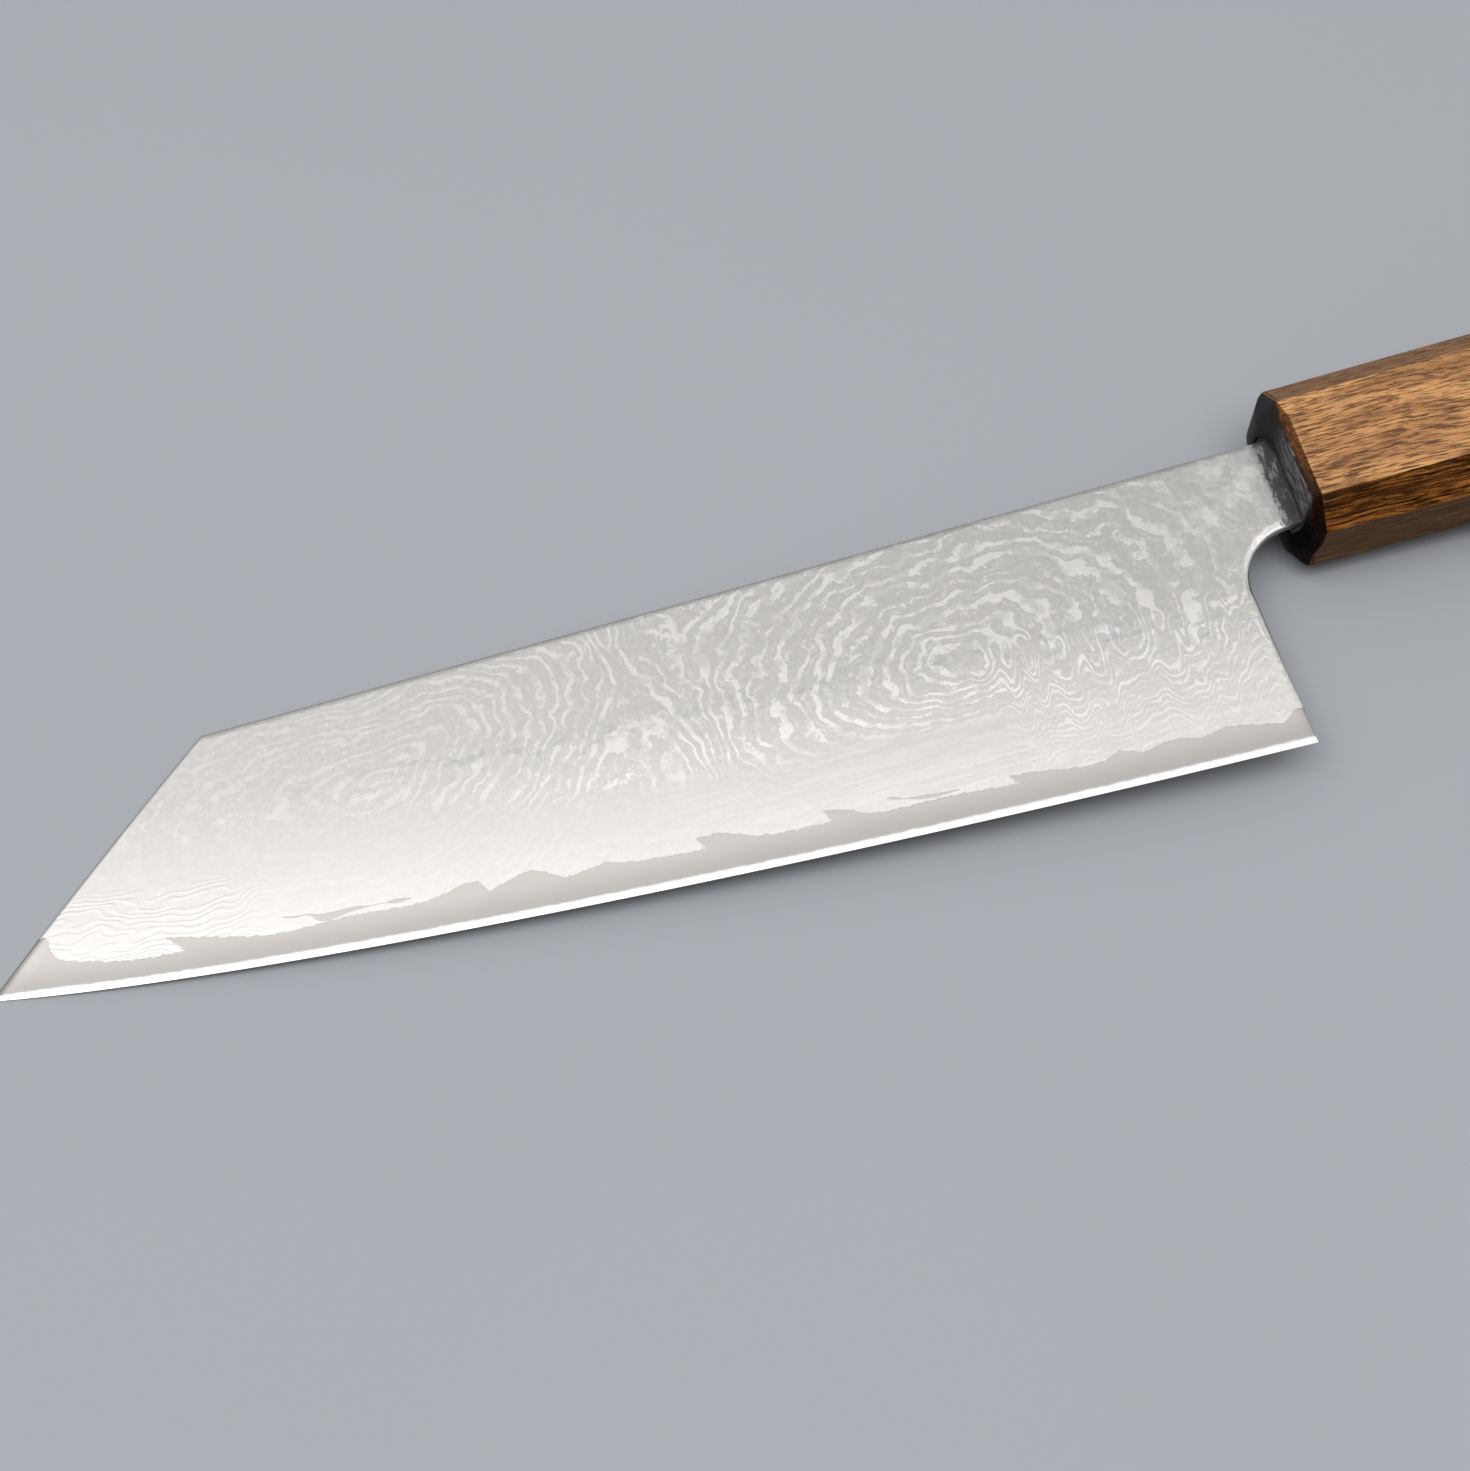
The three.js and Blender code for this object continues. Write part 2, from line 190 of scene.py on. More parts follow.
def unit(v):
    return v / np.maximum(lengths(v), 1e-12)[..., None]


def bezier(controls, step):
    controls = np.array(controls, float)
    count = max(3, int(lengths(np.diff(controls, axis=0)).sum() / step))
    t = np.linspace(0, 1, count)[:, None]
    while len(controls.shape) == 2:
        controls = np.repeat(controls[None], count, 0)
    while controls.shape[1] > 1:
        controls = controls[:, :-1] * (1 - t[:, None]) + controls[:, 1:] * t[:, None]
    return controls[:, 0]


def paced(path):  # length along it to each point
    return np.append(0, np.cumsum(lengths(np.diff(path, axis=0))))


def straight(a, b, step):
    a, b = np.array(a, float), np.array(b, float)
    t = np.linspace(0, 1, max(2, int(lengths(b - a) / step)))[:, None]
    return a * (1 - t) + b * t


def leftHand(path, closed):  # unit normals on the left of the run, averaged at each point
    ahead = np.roll(path, -1, 0) - path
    behind = path - np.roll(path, 1, 0)
    if not closed:
        ahead[-1] = behind[-1]
        behind[0] = ahead[0]
    run = unit(unit(ahead) + unit(behind))
    return np.stack([-run[:, 1], run[:, 0]], 1)


def inside(points, ring):
    hit = np.zeros(len(points), bool)
    x, y = points[:, 0], points[:, 1]
    for (ax, ay), (bx, by) in zip(ring, np.roll(ring, -1, 0)):
        if ay != by:
            crosses = (ay > y) != (by > y)
            hit ^= crosses & (x < (bx - ax) * (y - ay) / (by - ay) + ax)
    return hit


def nearest(points, path, closed=False):  # distance, the stretch of the path it falls on, share along that
    tree = KDTree(len(path))
    for i, (x, y) in enumerate(path):
        tree.insert((x, y, 0), i)
    tree.balance()
    spot = np.array([tree.find((x, y, 0))[1] for x, y in points], int)
    best = None
    for start in (spot, spot - 1):
        start = start % len(path) if closed else np.clip(start, 0, len(path) - 2)
        a, b = path[start], path[(start + 1) % len(path)]
        d, rel = b - a, points - a
        share = np.clip((rel * d).sum(1) / np.maximum((d * d).sum(1), 1e-12), 0, 1)
        gap = lengths(rel - share[:, None] * d)
        if best is None:
            best = [gap, start, share]
        else:
            closer = gap < best[0]
            best = [np.where(closer, new, old) for new, old in zip((gap, start, share), best)]
    return best


# blade: outline and section

blade = {
    "edgeLength": 180, "tipRise": 15, "heelAhead": 9.4, "heelHeight": 45,
    "heelPull": (0.4, 2.4), "tipPull": (0.82, 8.2),  # edge curve: share of the run, rise
    "pointRun": 34, "pointBulge": 0.3, "spineAboveAxis": 6.3, "spineDrop": 0.8,
    "neckHeight": 13.7, "choilRadius": 8.3, "choilAhead": 10.3, "heelHollow": 0.05,
    "spineAtHeel": 2.1, "spineAtPoint": 1.3, "shoulder": 23.5, "faceTaper": 0.2, "grindSwell": 0.6,
    "bevel": 0.9, "bevelAtTip": (0.5, 9), "behindBevel": 0.36, "edgeLand": 0.02,
    "coreAtHeel": 0.6, "coreAtTip": 0.38, "weldGap": 0.02, "leastPlate": 0.01,
    "neckDepth": 4, "tangLength": 98, "tangShoulder": 1.6, "tangEnd": (6, 1.6),
    "tangRound": 2, "tangCut": 0.6,
    "steps": {"edge": 0.45, "clip": 0.3, "spine": 0.5, "neck": 0.25, "choil": 0.22, "heelBack": 0.3},
}
# eased corners along the outline: how far in, how deep
plateEasing = {
    "clip": (0.45, 0.2), "spine": (1.0, 0.45), "neck": (1.0, 0.4),
    "choil": (1.3, 0.5), "heelBack": (0.8, 0.3),
}
coreEasing = {"clip": (0.45, 0.2), "heelBack": (1.6, 0.3)}
heelX = -blade["heelAhead"]
heelY = blade["spineAboveAxis"] - blade["heelHeight"]
edgeRun = math.sqrt(blade["edgeLength"] ** 2 - blade["tipRise"] ** 2)
tipX, tipY = heelX - edgeRun, heelY + blade["tipRise"]
pointX = tipX + blade["pointRun"]
neckBottom = blade["spineAboveAxis"] - blade["neckHeight"]
neckMiddle = blade["spineAboveAxis"] - blade["neckHeight"] / 2


def spineAt(x):
    return blade["spineAboveAxis"] + blade["spineDrop"] * np.minimum(x, 0) / -pointX


def edgePath(step):
    pulls = [(heelX - along * edgeRun, heelY + rise) for along, rise in (blade["heelPull"], blade["tipPull"])]
    return bezier([(heelX, heelY), *pulls, (tipX, tipY)], step)


fineEdge = edgePath(0.1)[::-1]


def edgeAt(x):
    return np.interp(x, fineEdge[:, 0], fineEdge[:, 1])


def faceHalf(x, y):
    taper = (blade["spineAtHeel"] - blade["spineAtPoint"]) / 2 / (heelX - pointX)
    lean = blade["faceTaper"] / 2 / (blade["heelHeight"] - blade["shoulder"])
    onBlade = blade["spineAtHeel"] / 2 + taper * (np.minimum(x, blade["neckDepth"]) - heelX)
    fall = (onBlade - blade["tangEnd"][1] / 2) / (blade["tangLength"] - blade["neckDepth"])
    return onBlade - fall * np.maximum(x - blade["neckDepth"], 0) + lean * (y - blade["spineAboveAxis"])


def bevelShare(x):  # the cutting bevel runs out towards the tip
    least, length = blade["bevelAtTip"]
    share = np.clip((x - tipX) / length, 0, 1)
    return least + (1 - least) * share * (2 - share)


def groundHalf(x, y):  # half thickness: flat face, convex bevel, cutting bevel
    edge = edgeAt(x)
    rise = y - edge
    bevel = blade["bevel"] * bevelShare(x)
    behind, land = blade["behindBevel"] / 2 * bevelShare(x), blade["edgeLand"] / 2
    share = np.clip((rise - bevel) / (blade["shoulder"] - bevel), 0, 1)
    swell = faceHalf(x, edge + blade["shoulder"]) - behind
    ground = behind + swell * share * (1 + blade["grindSwell"] * (1 - share))
    cutting = land + (behind - land) * np.clip(rise / bevel, 0, 1)
    half = np.where(rise < bevel, cutting, ground)
    return np.where(rise > blade["shoulder"], faceHalf(x, y), half)


def coreHalf(x):
    fall = (blade["coreAtHeel"] - blade["coreAtTip"]) / 2 / edgeRun
    return blade["coreAtHeel"] / 2 + fall * (x - heelX)


def bladeRuns():  # the outline clockwise from the heel, as named runs
    tip, point = np.array((tipX, tipY)), np.array((pointX, spineAt(pointX)))
    along = unit(point - tip)
    bulge = (tip + point) / 2 + 2 * blade["pointBulge"] * np.array((-along[1], along[0]))
    centre = np.array((blade["choilRadius"] - blade["choilAhead"], neckBottom - blade["choilRadius"]))
    hollow = ((heelX - blade["choilAhead"]) / 2 - 2 * blade["heelHollow"], (heelY + centre[1]) / 2)
    depth, length, softEnd = blade["neckDepth"], blade["tangLength"], blade["tangRound"]
    endTop, endBottom = (neckMiddle + s * blade["tangEnd"][0] / 2 for s in (1, -1))
    cut, step = blade["tangCut"], blade["steps"]
    tang = [(depth, blade["spineAboveAxis"] - blade["tangShoulder"]), (length - softEnd, endTop)]
    tang += [(length - cut, endTop - cut), (length, endTop - softEnd), (length, endBottom + softEnd)]
    tang += [(length - cut, endBottom + cut), (length - softEnd, endBottom)]
    tang += [(depth, neckBottom + blade["tangShoulder"]), (depth, neckBottom)]
    turn = np.radians(np.linspace(90, 180, int(blade["choilRadius"] * math.pi / 2 / step["choil"])))
    backTop = (-blade["choilAhead"], centre[1])
    spineX = np.append(np.arange(pointX, depth, step["spine"]), depth)
    return {
        "edge": edgePath(step["edge"]),
        "clip": bezier([tip, bulge, point], step["clip"]),
        "spine": np.stack([spineX, spineAt(spineX)], 1),
        "tang": np.array(tang),
        "neck": straight((depth, neckBottom), (centre[0], neckBottom), step["neck"]),
        "choil": centre + blade["choilRadius"] * np.stack([np.cos(turn), np.sin(turn)], 1),
        "heelBack": bezier([backTop, hollow, (heelX, heelY)], step["heelBack"]),
    }


# weld lines where the claddings end: smooth runs of points that meet at sharp teeth
weldTeeth = {
    "left": [  # x and y on the knife
        [(-180.6, -17.1), (-179.9, -19.7), (-174, -22.4), (-166, -24), (-162.4, -24.2)],
        [(-164.8, -21.7), (-158, -23.6), (-151.6, -25.2), (-140.8, -25.7), (-128, -26.4), (-125.2, -25.8),
         (-123, -25.8)],
        [(-121.8, -27.7), (-118.4, -26.8), (-115.8, -26.3)],
        [(-115.8, -26.3), (-113.6, -27.4), (-111.5, -28.7)],
        [(-111.5, -28.7), (-108, -28.4), (-105.8, -28.1)],
        [(-105.8, -28.1), (-103.6, -28.8), (-98, -29.6), (-92.3, -30.2)],
        [(-93.4, -28.3), (-90.8, -28.4), (-84.8, -30.4), (-80, -30.9), (-75, -31.2)],
        [(-76, -29.4), (-73, -30.1), (-70, -31.5), (-66, -31.9), (-60, -32.1), (-55.6, -32.5),
         (-49.3, -33.2)],
        [(-50.6, -31.7), (-46, -32.3), (-40, -33.3), (-38, -33.3), (-35.2, -32.6), (-32.4, -33.6)],
        [(-32.4, -33.6), (-28, -33), (-24, -33.9)],
        [(-24, -33.9), (-20.8, -33.3), (-16, -34.2), (-12.4, -34.7), (-10.8, -33.5)],
    ],
    "right": [  # hundredths of the edge from the heel and mm above it
        [(95, 8), (93, 5.2), (86, 4.3), (78, 5.6)],
        [(77, 4.4), (66, 5.2), (60, 6)],
        [(58.5, 4.4), (48, 4.9), (41, 5.9)],
        [(39.5, 4.3), (30, 4.8), (22, 5.7)],
        [(20.5, 4.4), (12, 5.1), (5, 4.6), (0.8, 5.2)],
    ],
}
weldWander = {"step": 0.16, "wobble": 0.05, "calm": 0.8, "waves": (0.9, 1.7, 3.1), "seed": 11}
# thin slivers of core that show through above the line: x, y and half width
slivers = {
    "left": [
        [(-149.2, -23.35, 0.08), (-147.6, -23.75, 0.12), (-145.6, -24, 0.1), (-144.6, -24.65, 0.42),
         (-140, -24.85, 0.28), (-135.2, -25.3, 0.08), (-134.2, -25.4, 0.3), (-132, -25.6, 0.05)],
        [(-67.4, -30.1, 0.05), (-66.4, -30.3, 0.2), (-65.6, -30.6, 0.08), (-62, -31.35, 0.28),
         (-57.6, -31.6, 0.06)],
    ],
    "right": [[(-103, -27.1, 0.05), (-98, -27.6, 0.18), (-93, -28.2, 0.15), (-88, -28.8, 0.05)]],
}
sliverStep, thinnest = 0.2, 0.03


def onEdge(run):
    along, height = np.array(run, float).T
    x = heelX - along / 100 * edgeRun
    return np.stack([x, edgeAt(x) + height], -1)


def smoothRun(points, step):  # cubic through the points, evenly paced
    pace = paced(points)
    lean = np.gradient(points, pace, axis=0)
    made = []
    for i in range(len(points) - 1):
        span = pace[i + 1] - pace[i]
        t = np.linspace(0, 1, max(3, int(span / step)), endpoint=False)[:, None]
        bend = (2 * t ** 3 - 3 * t ** 2 + 1) * points[i] + (3 * t ** 2 - 2 * t ** 3) * points[i + 1]
        pull = (t ** 3 - 2 * t ** 2 + t) * lean[i] + (t ** 3 - t ** 2) * lean[i + 1]
        made.append(bend + span * pull)
    return np.vstack([*made, points[-1:]])


def weldPath(side):  # from the clipped point to the back of the heel
    teeth = [np.array(run, float) if side == "left" else onEdge(run) for run in weldTeeth[side]]
    clip, back = runs["clip"], runs["heelBack"][::-1]
    firstY, lastY = teeth[0][0, 1], teeth[-1][-1, 1]
    teeth[0] = np.vstack([(np.interp(firstY, clip[:, 1], clip[:, 0]), firstY), teeth[0]])
    teeth[-1] = np.vstack([teeth[-1], (np.interp(lastY, back[:, 1], back[:, 0]), lastY)])
    parts = [smoothRun(teeth[0], weldWander["step"])]
    for before, run in zip(teeth, teeth[1:]):
        parts += [straight(before[-1], run[0], weldWander["step"]), smoothRun(run, weldWander["step"])]
    path = np.vstack(parts)
    path = path[np.append(True, lengths(np.diff(path, axis=0)) > 1e-6)]
    fixed = np.vstack([run[[0, -1]] for run in teeth])
    calm = np.min(lengths(path[:, None] - fixed[None]), 1) / weldWander["calm"]
    draws = np.random.default_rng(weldWander["seed"] + len(teeth))
    phases = draws.uniform(0, fullTurn, len(weldWander["waves"]))
    wave = sum(np.sin(paced(path) / w * fullTurn + p) for w, p in zip(weldWander["waves"], phases))
    return path + (weldWander["wobble"] * np.clip(calm, 0, 1) * wave)[:, None] * leftHand(path, False)


def sliverRings(side):
    rings = []
    for spots in slivers[side]:
        path = smoothRun(np.array(spots), sliverStep)
        middle, half = path[:, :2], np.maximum(path[:, 2:], thinnest)
        away = leftHand(middle, False)
        rings.append(np.vstack([middle + away * half, (middle - away * half)[::-1]]))
    return rings


runs = bladeRuns()
weldPaths = {side: weldPath(side) for side in weldTeeth}
sliverPaths = {side: sliverRings(side) for side in slivers}


# plates of steel over an outline

rows = {
    "heights": [
        0.25, 0.5, 0.7, 0.86, 0.94, 1.15, 1.4, 1.7, 2, 2.5, 3, 3.6, 4.2, 4.8, 5.5, 6.2, 7, 8, 9, 10, 11.2,
        12.4, 13.6, 14.8, 16, 17.2, 18.4, 19.6, 20.8, 22, 22.8, 23.4, 23.6, 24.2, 25.4, 26.8, 28.4, 30, 32,
        34, 36, 38, 40, 42, 44,
    ],
    "creases": (0.86, 0.94, 23.4, 23.6), "alongStep": 1.0, "ends": 0.2, "clear": 0.14, "roundSteps": 7,
    "onBevel": 1.5,  # rows below this draw in with the bevel at the tip
    "keepIn": 0.93, "keepOff": 0.05, "pastEasing": 1.12, "tangStep": 6.0, "tangEnds": 4, "same": 1e-5,
    "deepest": 0.7,  # share of the thickness that an easing may take
    "steepest": 0.004, "roundRim": 0.8,  # walls closer in direction than this shade as one
}


def joinRuns(named, easing):  # closed outline with the easing at each point
    points, wide, deep = [], [], []
    for name, path in named:
        points.append(path[:-1])
        across, down = easing.get(name, (0, 0))
        wide += [across] * len(points[-1])
        deep += [down] * len(points[-1])
    wide, deep = np.array(wide, float), np.array(deep, float)
    sharp = wide == 0
    return np.vstack(points), evenOut(wide, sharp), evenOut(deep, sharp)


def evenOut(values, keep, passes=6):  # soft change from one run's easing to the next
    for _ in range(passes):
        values = np.where(keep, values, (np.roll(values, 1) + 2 * values + np.roll(values, -1)) / 4)
    return values


def spread(outline, wide, paths):  # triangles over the outline, fine at its eased corners
    outward = leftHand(outline, True)
    points, edges = [outline], [(i, (i + 1) % len(outline)) for i in range(len(outline))]
    count = len(outline)
    for path, closed in paths:
        last = len(path) if closed else len(path) - 1
        edges += [(count + i, count + (i + 1) % len(path)) for i in range(last)]
        points.append(path)
        count += len(path)
    soft = wide > 0
    for turn in np.linspace(0, math.pi / 2, rows["roundSteps"] + 1)[1:]:
        depth = wide[soft] * (1 - math.cos(turn))
        inner = outline[soft] - outward[soft] * depth[:, None]
        keep = (nearest(inner, outline, True)[0] > depth * rows["keepIn"]) & inside(inner, outline)
        for path, closed in paths:
            keep &= nearest(inner, path, closed)[0] > rows["keepOff"]
        points.append(inner[keep])
        count += keep.sum()
    x = np.arange(tipX + rows["ends"], blade["neckDepth"] - rows["ends"], rows["alongStep"])
    grid = []
    for height in rows["heights"]:
        lift = height * (bevelShare(x) if height < rows["onBevel"] else 1)
        grid.append(np.stack([x, edgeAt(x) + lift], 1))
    grid = np.vstack(grid)
    gap, spot, _ = nearest(grid, outline, True)
    keep = inside(grid, outline) & (gap > np.maximum(rows["clear"], wide[spot] * rows["pastEasing"]))
    for path, closed in paths:
        keep &= nearest(grid, path, closed)[0] > rows["clear"]
    order = np.cumsum(keep) - 1 + count
    for k, height in enumerate(rows["heights"]):
        if height in rows["creases"]:
            line = range(k * len(x), (k + 1) * len(x) - 1)
            edges += [(int(order[i]), int(order[i + 1])) for i in line if keep[i] and keep[i + 1]]
    points.append(grid[keep])
    ends = rows["tangEnds"]
    tangX = np.arange(blade["neckDepth"] + ends, blade["tangLength"] - ends, rows["tangStep"])
    points.append(np.stack([tangX, np.full(len(tangX), neckMiddle)], 1))
    every = [Vector(p) for p in np.vstack(points)]
    made = delaunay_2d_cdt(every, edges, [], 1, rows["same"], False)
    flat, tris = np.array([tuple(v) for v in made[0]]), np.array(made[2])
    return flat, tris[inside(flat[tris].mean(1), outline)]


def eased(flat, outline, wide, deep, top, floor):  # height and normal of a face with its corners eased
    x, y, step = flat[:, 0], flat[:, 1], 0.01
    slopeX = (groundHalf(x + step, y) - groundHalf(x - step, y)) / (2 * step)
    slopeY = (groundHalf(x, y + step) - groundHalf(x, y - step)) / (2 * step)
    gap, spot, share = nearest(flat, outline, True)
    after = (spot + 1) % len(outline)
    width = wide[spot] * (1 - share) + wide[after] * share
    depth = deep[spot] * (1 - share) + deep[after] * share
    depth = np.minimum(depth, rows["deepest"] * np.maximum(top - floor, 0))
    reach = np.where(width > 0, np.clip(1 - gap / np.maximum(width, 1e-6), 0, 1), 0)
    rest = np.sqrt(np.maximum(1 - reach ** 2, rows["steepest"]))
    drop = depth * (1 - np.sqrt(1 - reach ** 2))
    fall = np.where(width > 0, depth * reach / np.maximum(width, 1e-6) / rest, 0)
    normals = leftHand(outline, True)
    out = unit(normals[spot] * (1 - share)[:, None] + normals[after] * share[:, None])
    tilt = np.stack([-slopeX, -slopeY], 1) + fall[:, None] * out
    return top - drop, unit(np.column_stack([tilt, np.ones(len(flat))]))


def closedPlate(name, flat, tris, top, bottom, topNormal, bottomNormal):
    used = np.unique(tris)
    order = np.full(len(flat), -1)
    order[used] = np.arange(len(used))
    tris, flat = order[tris], flat[used]
    top, bottom, topNormal, bottomNormal = (v[used] for v in (top, bottom, topNormal, bottomNormal))
    cross = np.cross(flat[tris[:, 1]] - flat[tris[:, 0]], flat[tris[:, 2]] - flat[tris[:, 0]])
    tris[cross < 0] = tris[cross < 0][:, ::-1]
    count = len(flat)
    sides = np.vstack([tris[:, [0, 1]], tris[:, [1, 2]], tris[:, [2, 0]]])
    rim = sides[~np.isin(sides[:, 0] * count + sides[:, 1], sides[:, 1] * count + sides[:, 0])]
    run = unit(flat[rim[:, 1]] - flat[rim[:, 0]])
    out = np.column_stack([run[:, 1], -run[:, 0], np.zeros(len(rim))])
    leaving = {a: i for i, (a, b) in enumerate(rim)}
    coming = {b: i for i, (a, b) in enumerate(rim)}

    def rimNormal(i, other):
        soft = out[i] + out[other]
        return unit(soft) if out[i] @ out[other] > rows["roundRim"] else out[i]

    walls, wallNormals = [], []
    for i, (a, b) in enumerate(rim):
        atA, atB = rimNormal(i, coming[a]), rimNormal(i, leaving[b])
        walls.append((a, a + count, b + count, b))
        wallNormals += [atA, atA, atB, atB]
    verts = np.vstack([np.column_stack([flat, top]), np.column_stack([flat, bottom])]) * mm
    faces = [tuple(t) for t in tris.tolist()] + [tuple(t) for t in (tris[:, ::-1] + count).tolist()] + walls
    normals = [topNormal[tris].reshape(-1, 3), bottomNormal[tris[:, ::-1]].reshape(-1, 3), wallNormals]
    mesh = bpy.data.meshes.new(name)
    mesh.from_pydata(verts.tolist(), [], faces)
    mesh.polygons.foreach_set("use_smooth", [True] * len(mesh.polygons))
    mesh.normals_split_custom_set(np.vstack(normals).tolist())
    where = np.vstack([flat, flat])
    marks(mesh, "aboveEdge", where[:, 1] - edgeAt(where[:, 0]))
    return mesh, where


def marks(mesh, name, values):  # numbers on the points that the finish reads
    mesh.attributes.new(name, "FLOAT", "POINT").data.foreach_set("value", np.asarray(values, np.float32))


def setDown(name, mesh, material, node):
    piece = bpy.data.objects.new(name, mesh)
    scene.collection.objects.link(piece)
    piece.matrix_world = place
    mesh.materials.append(material)
    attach(piece, "root")
    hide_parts(node)
    print(name, "has", len(mesh.vertices), "points")
    return piece


# finish of the claddings: many layers, folded and etched, cut open by the grinding

damascus = {
    "layer": 0.13,  # mm of steel to one pair of layers
    "ground": (0.538, 0.522, 0.508), "line": (0.772, 0.753, 0.735),
    "smear": (0.40, 0.41, 0.43), "weld": (0.44, 0.42, 0.4),
    "swirls": {  # middle, spacing of the rings to the left, right, below and above, their lean left and right
        "left": [
            ((-52, -13.9), (2.8, 3.2, 1.3, 1.9), (0.35, -0.1)),
            ((-131, -7.5), (5.0, 1.9, 1.9, 1.2), (0.2, 0.45)),
        ],
        "right": [
            ((-70, -12), (2.1, 2.3, 1.2, 1.5), (0.2, 0.1)),
            ((-140, -9), (2.0, 2.2, 1.7, 1.5), (-0.3, 0.2)),
        ],
    },
    "leanOver": (-8, 8), "spacingOver": (-4, 4),  # mm across the middle where these change sides
    "square": 2.7,  # 2 makes the rings round
    "join": 1.5,  # how softly the swirls meet
    "first": 0.45,  # layers to the first ring
    "kink": (-93, 5.5, -6, 1.1),  # fold between the swirls: x, reach, y and lean
    "shift": {"left": (0, 0, 0), "right": (37, 91, 13)},
    "folds": [  # noise to a mm, detail, mm moved
        (0.085, 2.0, 6.0), (0.28, 1.0, 0.9), (0.8, 1.0, 0.5), (2.2, 1.0, 0.25),
    ],
    "zigzag": 1.6, "ripple": 0.35, "upturn": 2.0,  # how many lines they move
    "etched": 0.0028,  # depth in mm
    "zones": {  # from and to along the blade and up it, with strengths where they aren't 0 and 1
        "zigzag": ((-54, -42), (27, 22)), "upturn": ((-20, -10), (26, 18)),
        "marbled": ((-26, -8, 0.0, 0.7), (-18, -8)), "heel": ((-52, -42), (6, 14, 0.25, 0.7)),
        "drawn": ((-120, -60, 0.04, 0.2), (21, 15)), "tip": ((-148, -158, 0.0, 1.3), (15, 11)),
    },
    "flatFrom": (-145, -100, 17, 12.5), "clearAlong": (-155, -60, 0.25, 1.0), "faintest": 0.06,
    "smearAlong": (-150, -128), "smearLine": (-50, -12, 23.8, 19),
}
neckRub = {  # black filler rubbed on the neck
    "colour": (0.03, 0.031, 0.036), "from": -2.8, "lean": -0.035, "thicker": (-2.8, 0.2, 0.05, 0.22),
}


def swirl(coords, middle, spacing, lean):  # rings counted out from the middle
    left, right, below, above = spacing
    x, y = axes(vectors("SUBTRACT", coords, (*middle, 0)))[:2]
    slant = times(y, ramp(x, *damascus["leanOver"], *lean))
    along = minus(x, slant)
    dx = over(along, ramp(along, *damascus["spacingOver"], left, right))
    dy = over(y, ramp(y, *damascus["spacingOver"], below, above))
    far = [sums("POWER", sums("ABSOLUTE", d), damascus["square"]) for d in (dx, dy)]
    return sums("POWER", plus(*far), 1 / damascus["square"])


def kinked(coords):  # layers folded over between the swirls
    foldX, reach, foldY, lean = damascus["kink"]
    x, y = axes(vectors("SUBTRACT", coords, (foldX, foldY, 0)))[:2]
    near = over(x, reach)
    near = sums("EXPONENT", times(near, near, -1.0))
    push = times(near, y, lean)
    return vectors("ADD", coords, add("CombineXYZ", {0: push}).outputs[0])


def zone(name, along, up):  # a stretch of the blade, soft at its ends
    alongSpan, upSpan = damascus["zones"][name]
    return times(ramp(along, *alongSpan), ramp(up, *upSpan))


def layerCount(coords, moved, height, side):  # which layer the grinding has cut open
    x, _, z = axes(coords)
    folded = kinked(coords)
    for scale, detail, reach in damascus["folds"]:
        folded = pushed(folded, moved, scale, detail, (reach, reach, 0))
    first, second = (swirl(folded, *hill) for hill in damascus["swirls"][side])
    field = add("Math", {0: first, 1: second, 2: damascus["join"]}, operation="SMOOTH_MIN").outputs[0]
    field = minus(field, over(sums("ABSOLUTE", z), damascus["layer"]))
    jag = swing(drawnNoise(moved, (0.32, 0.05, 1), 1.0), damascus["zigzag"])
    jag = times(jag, zone("zigzag", x, height))
    shiver = swing(drawnNoise(moved, (0.25, 0.3, 1), 1.0), damascus["ripple"], "LINEAR")
    upturn = times(zone("upturn", x, height), damascus["upturn"])
    return plus(field, jag, shiver, upturn)


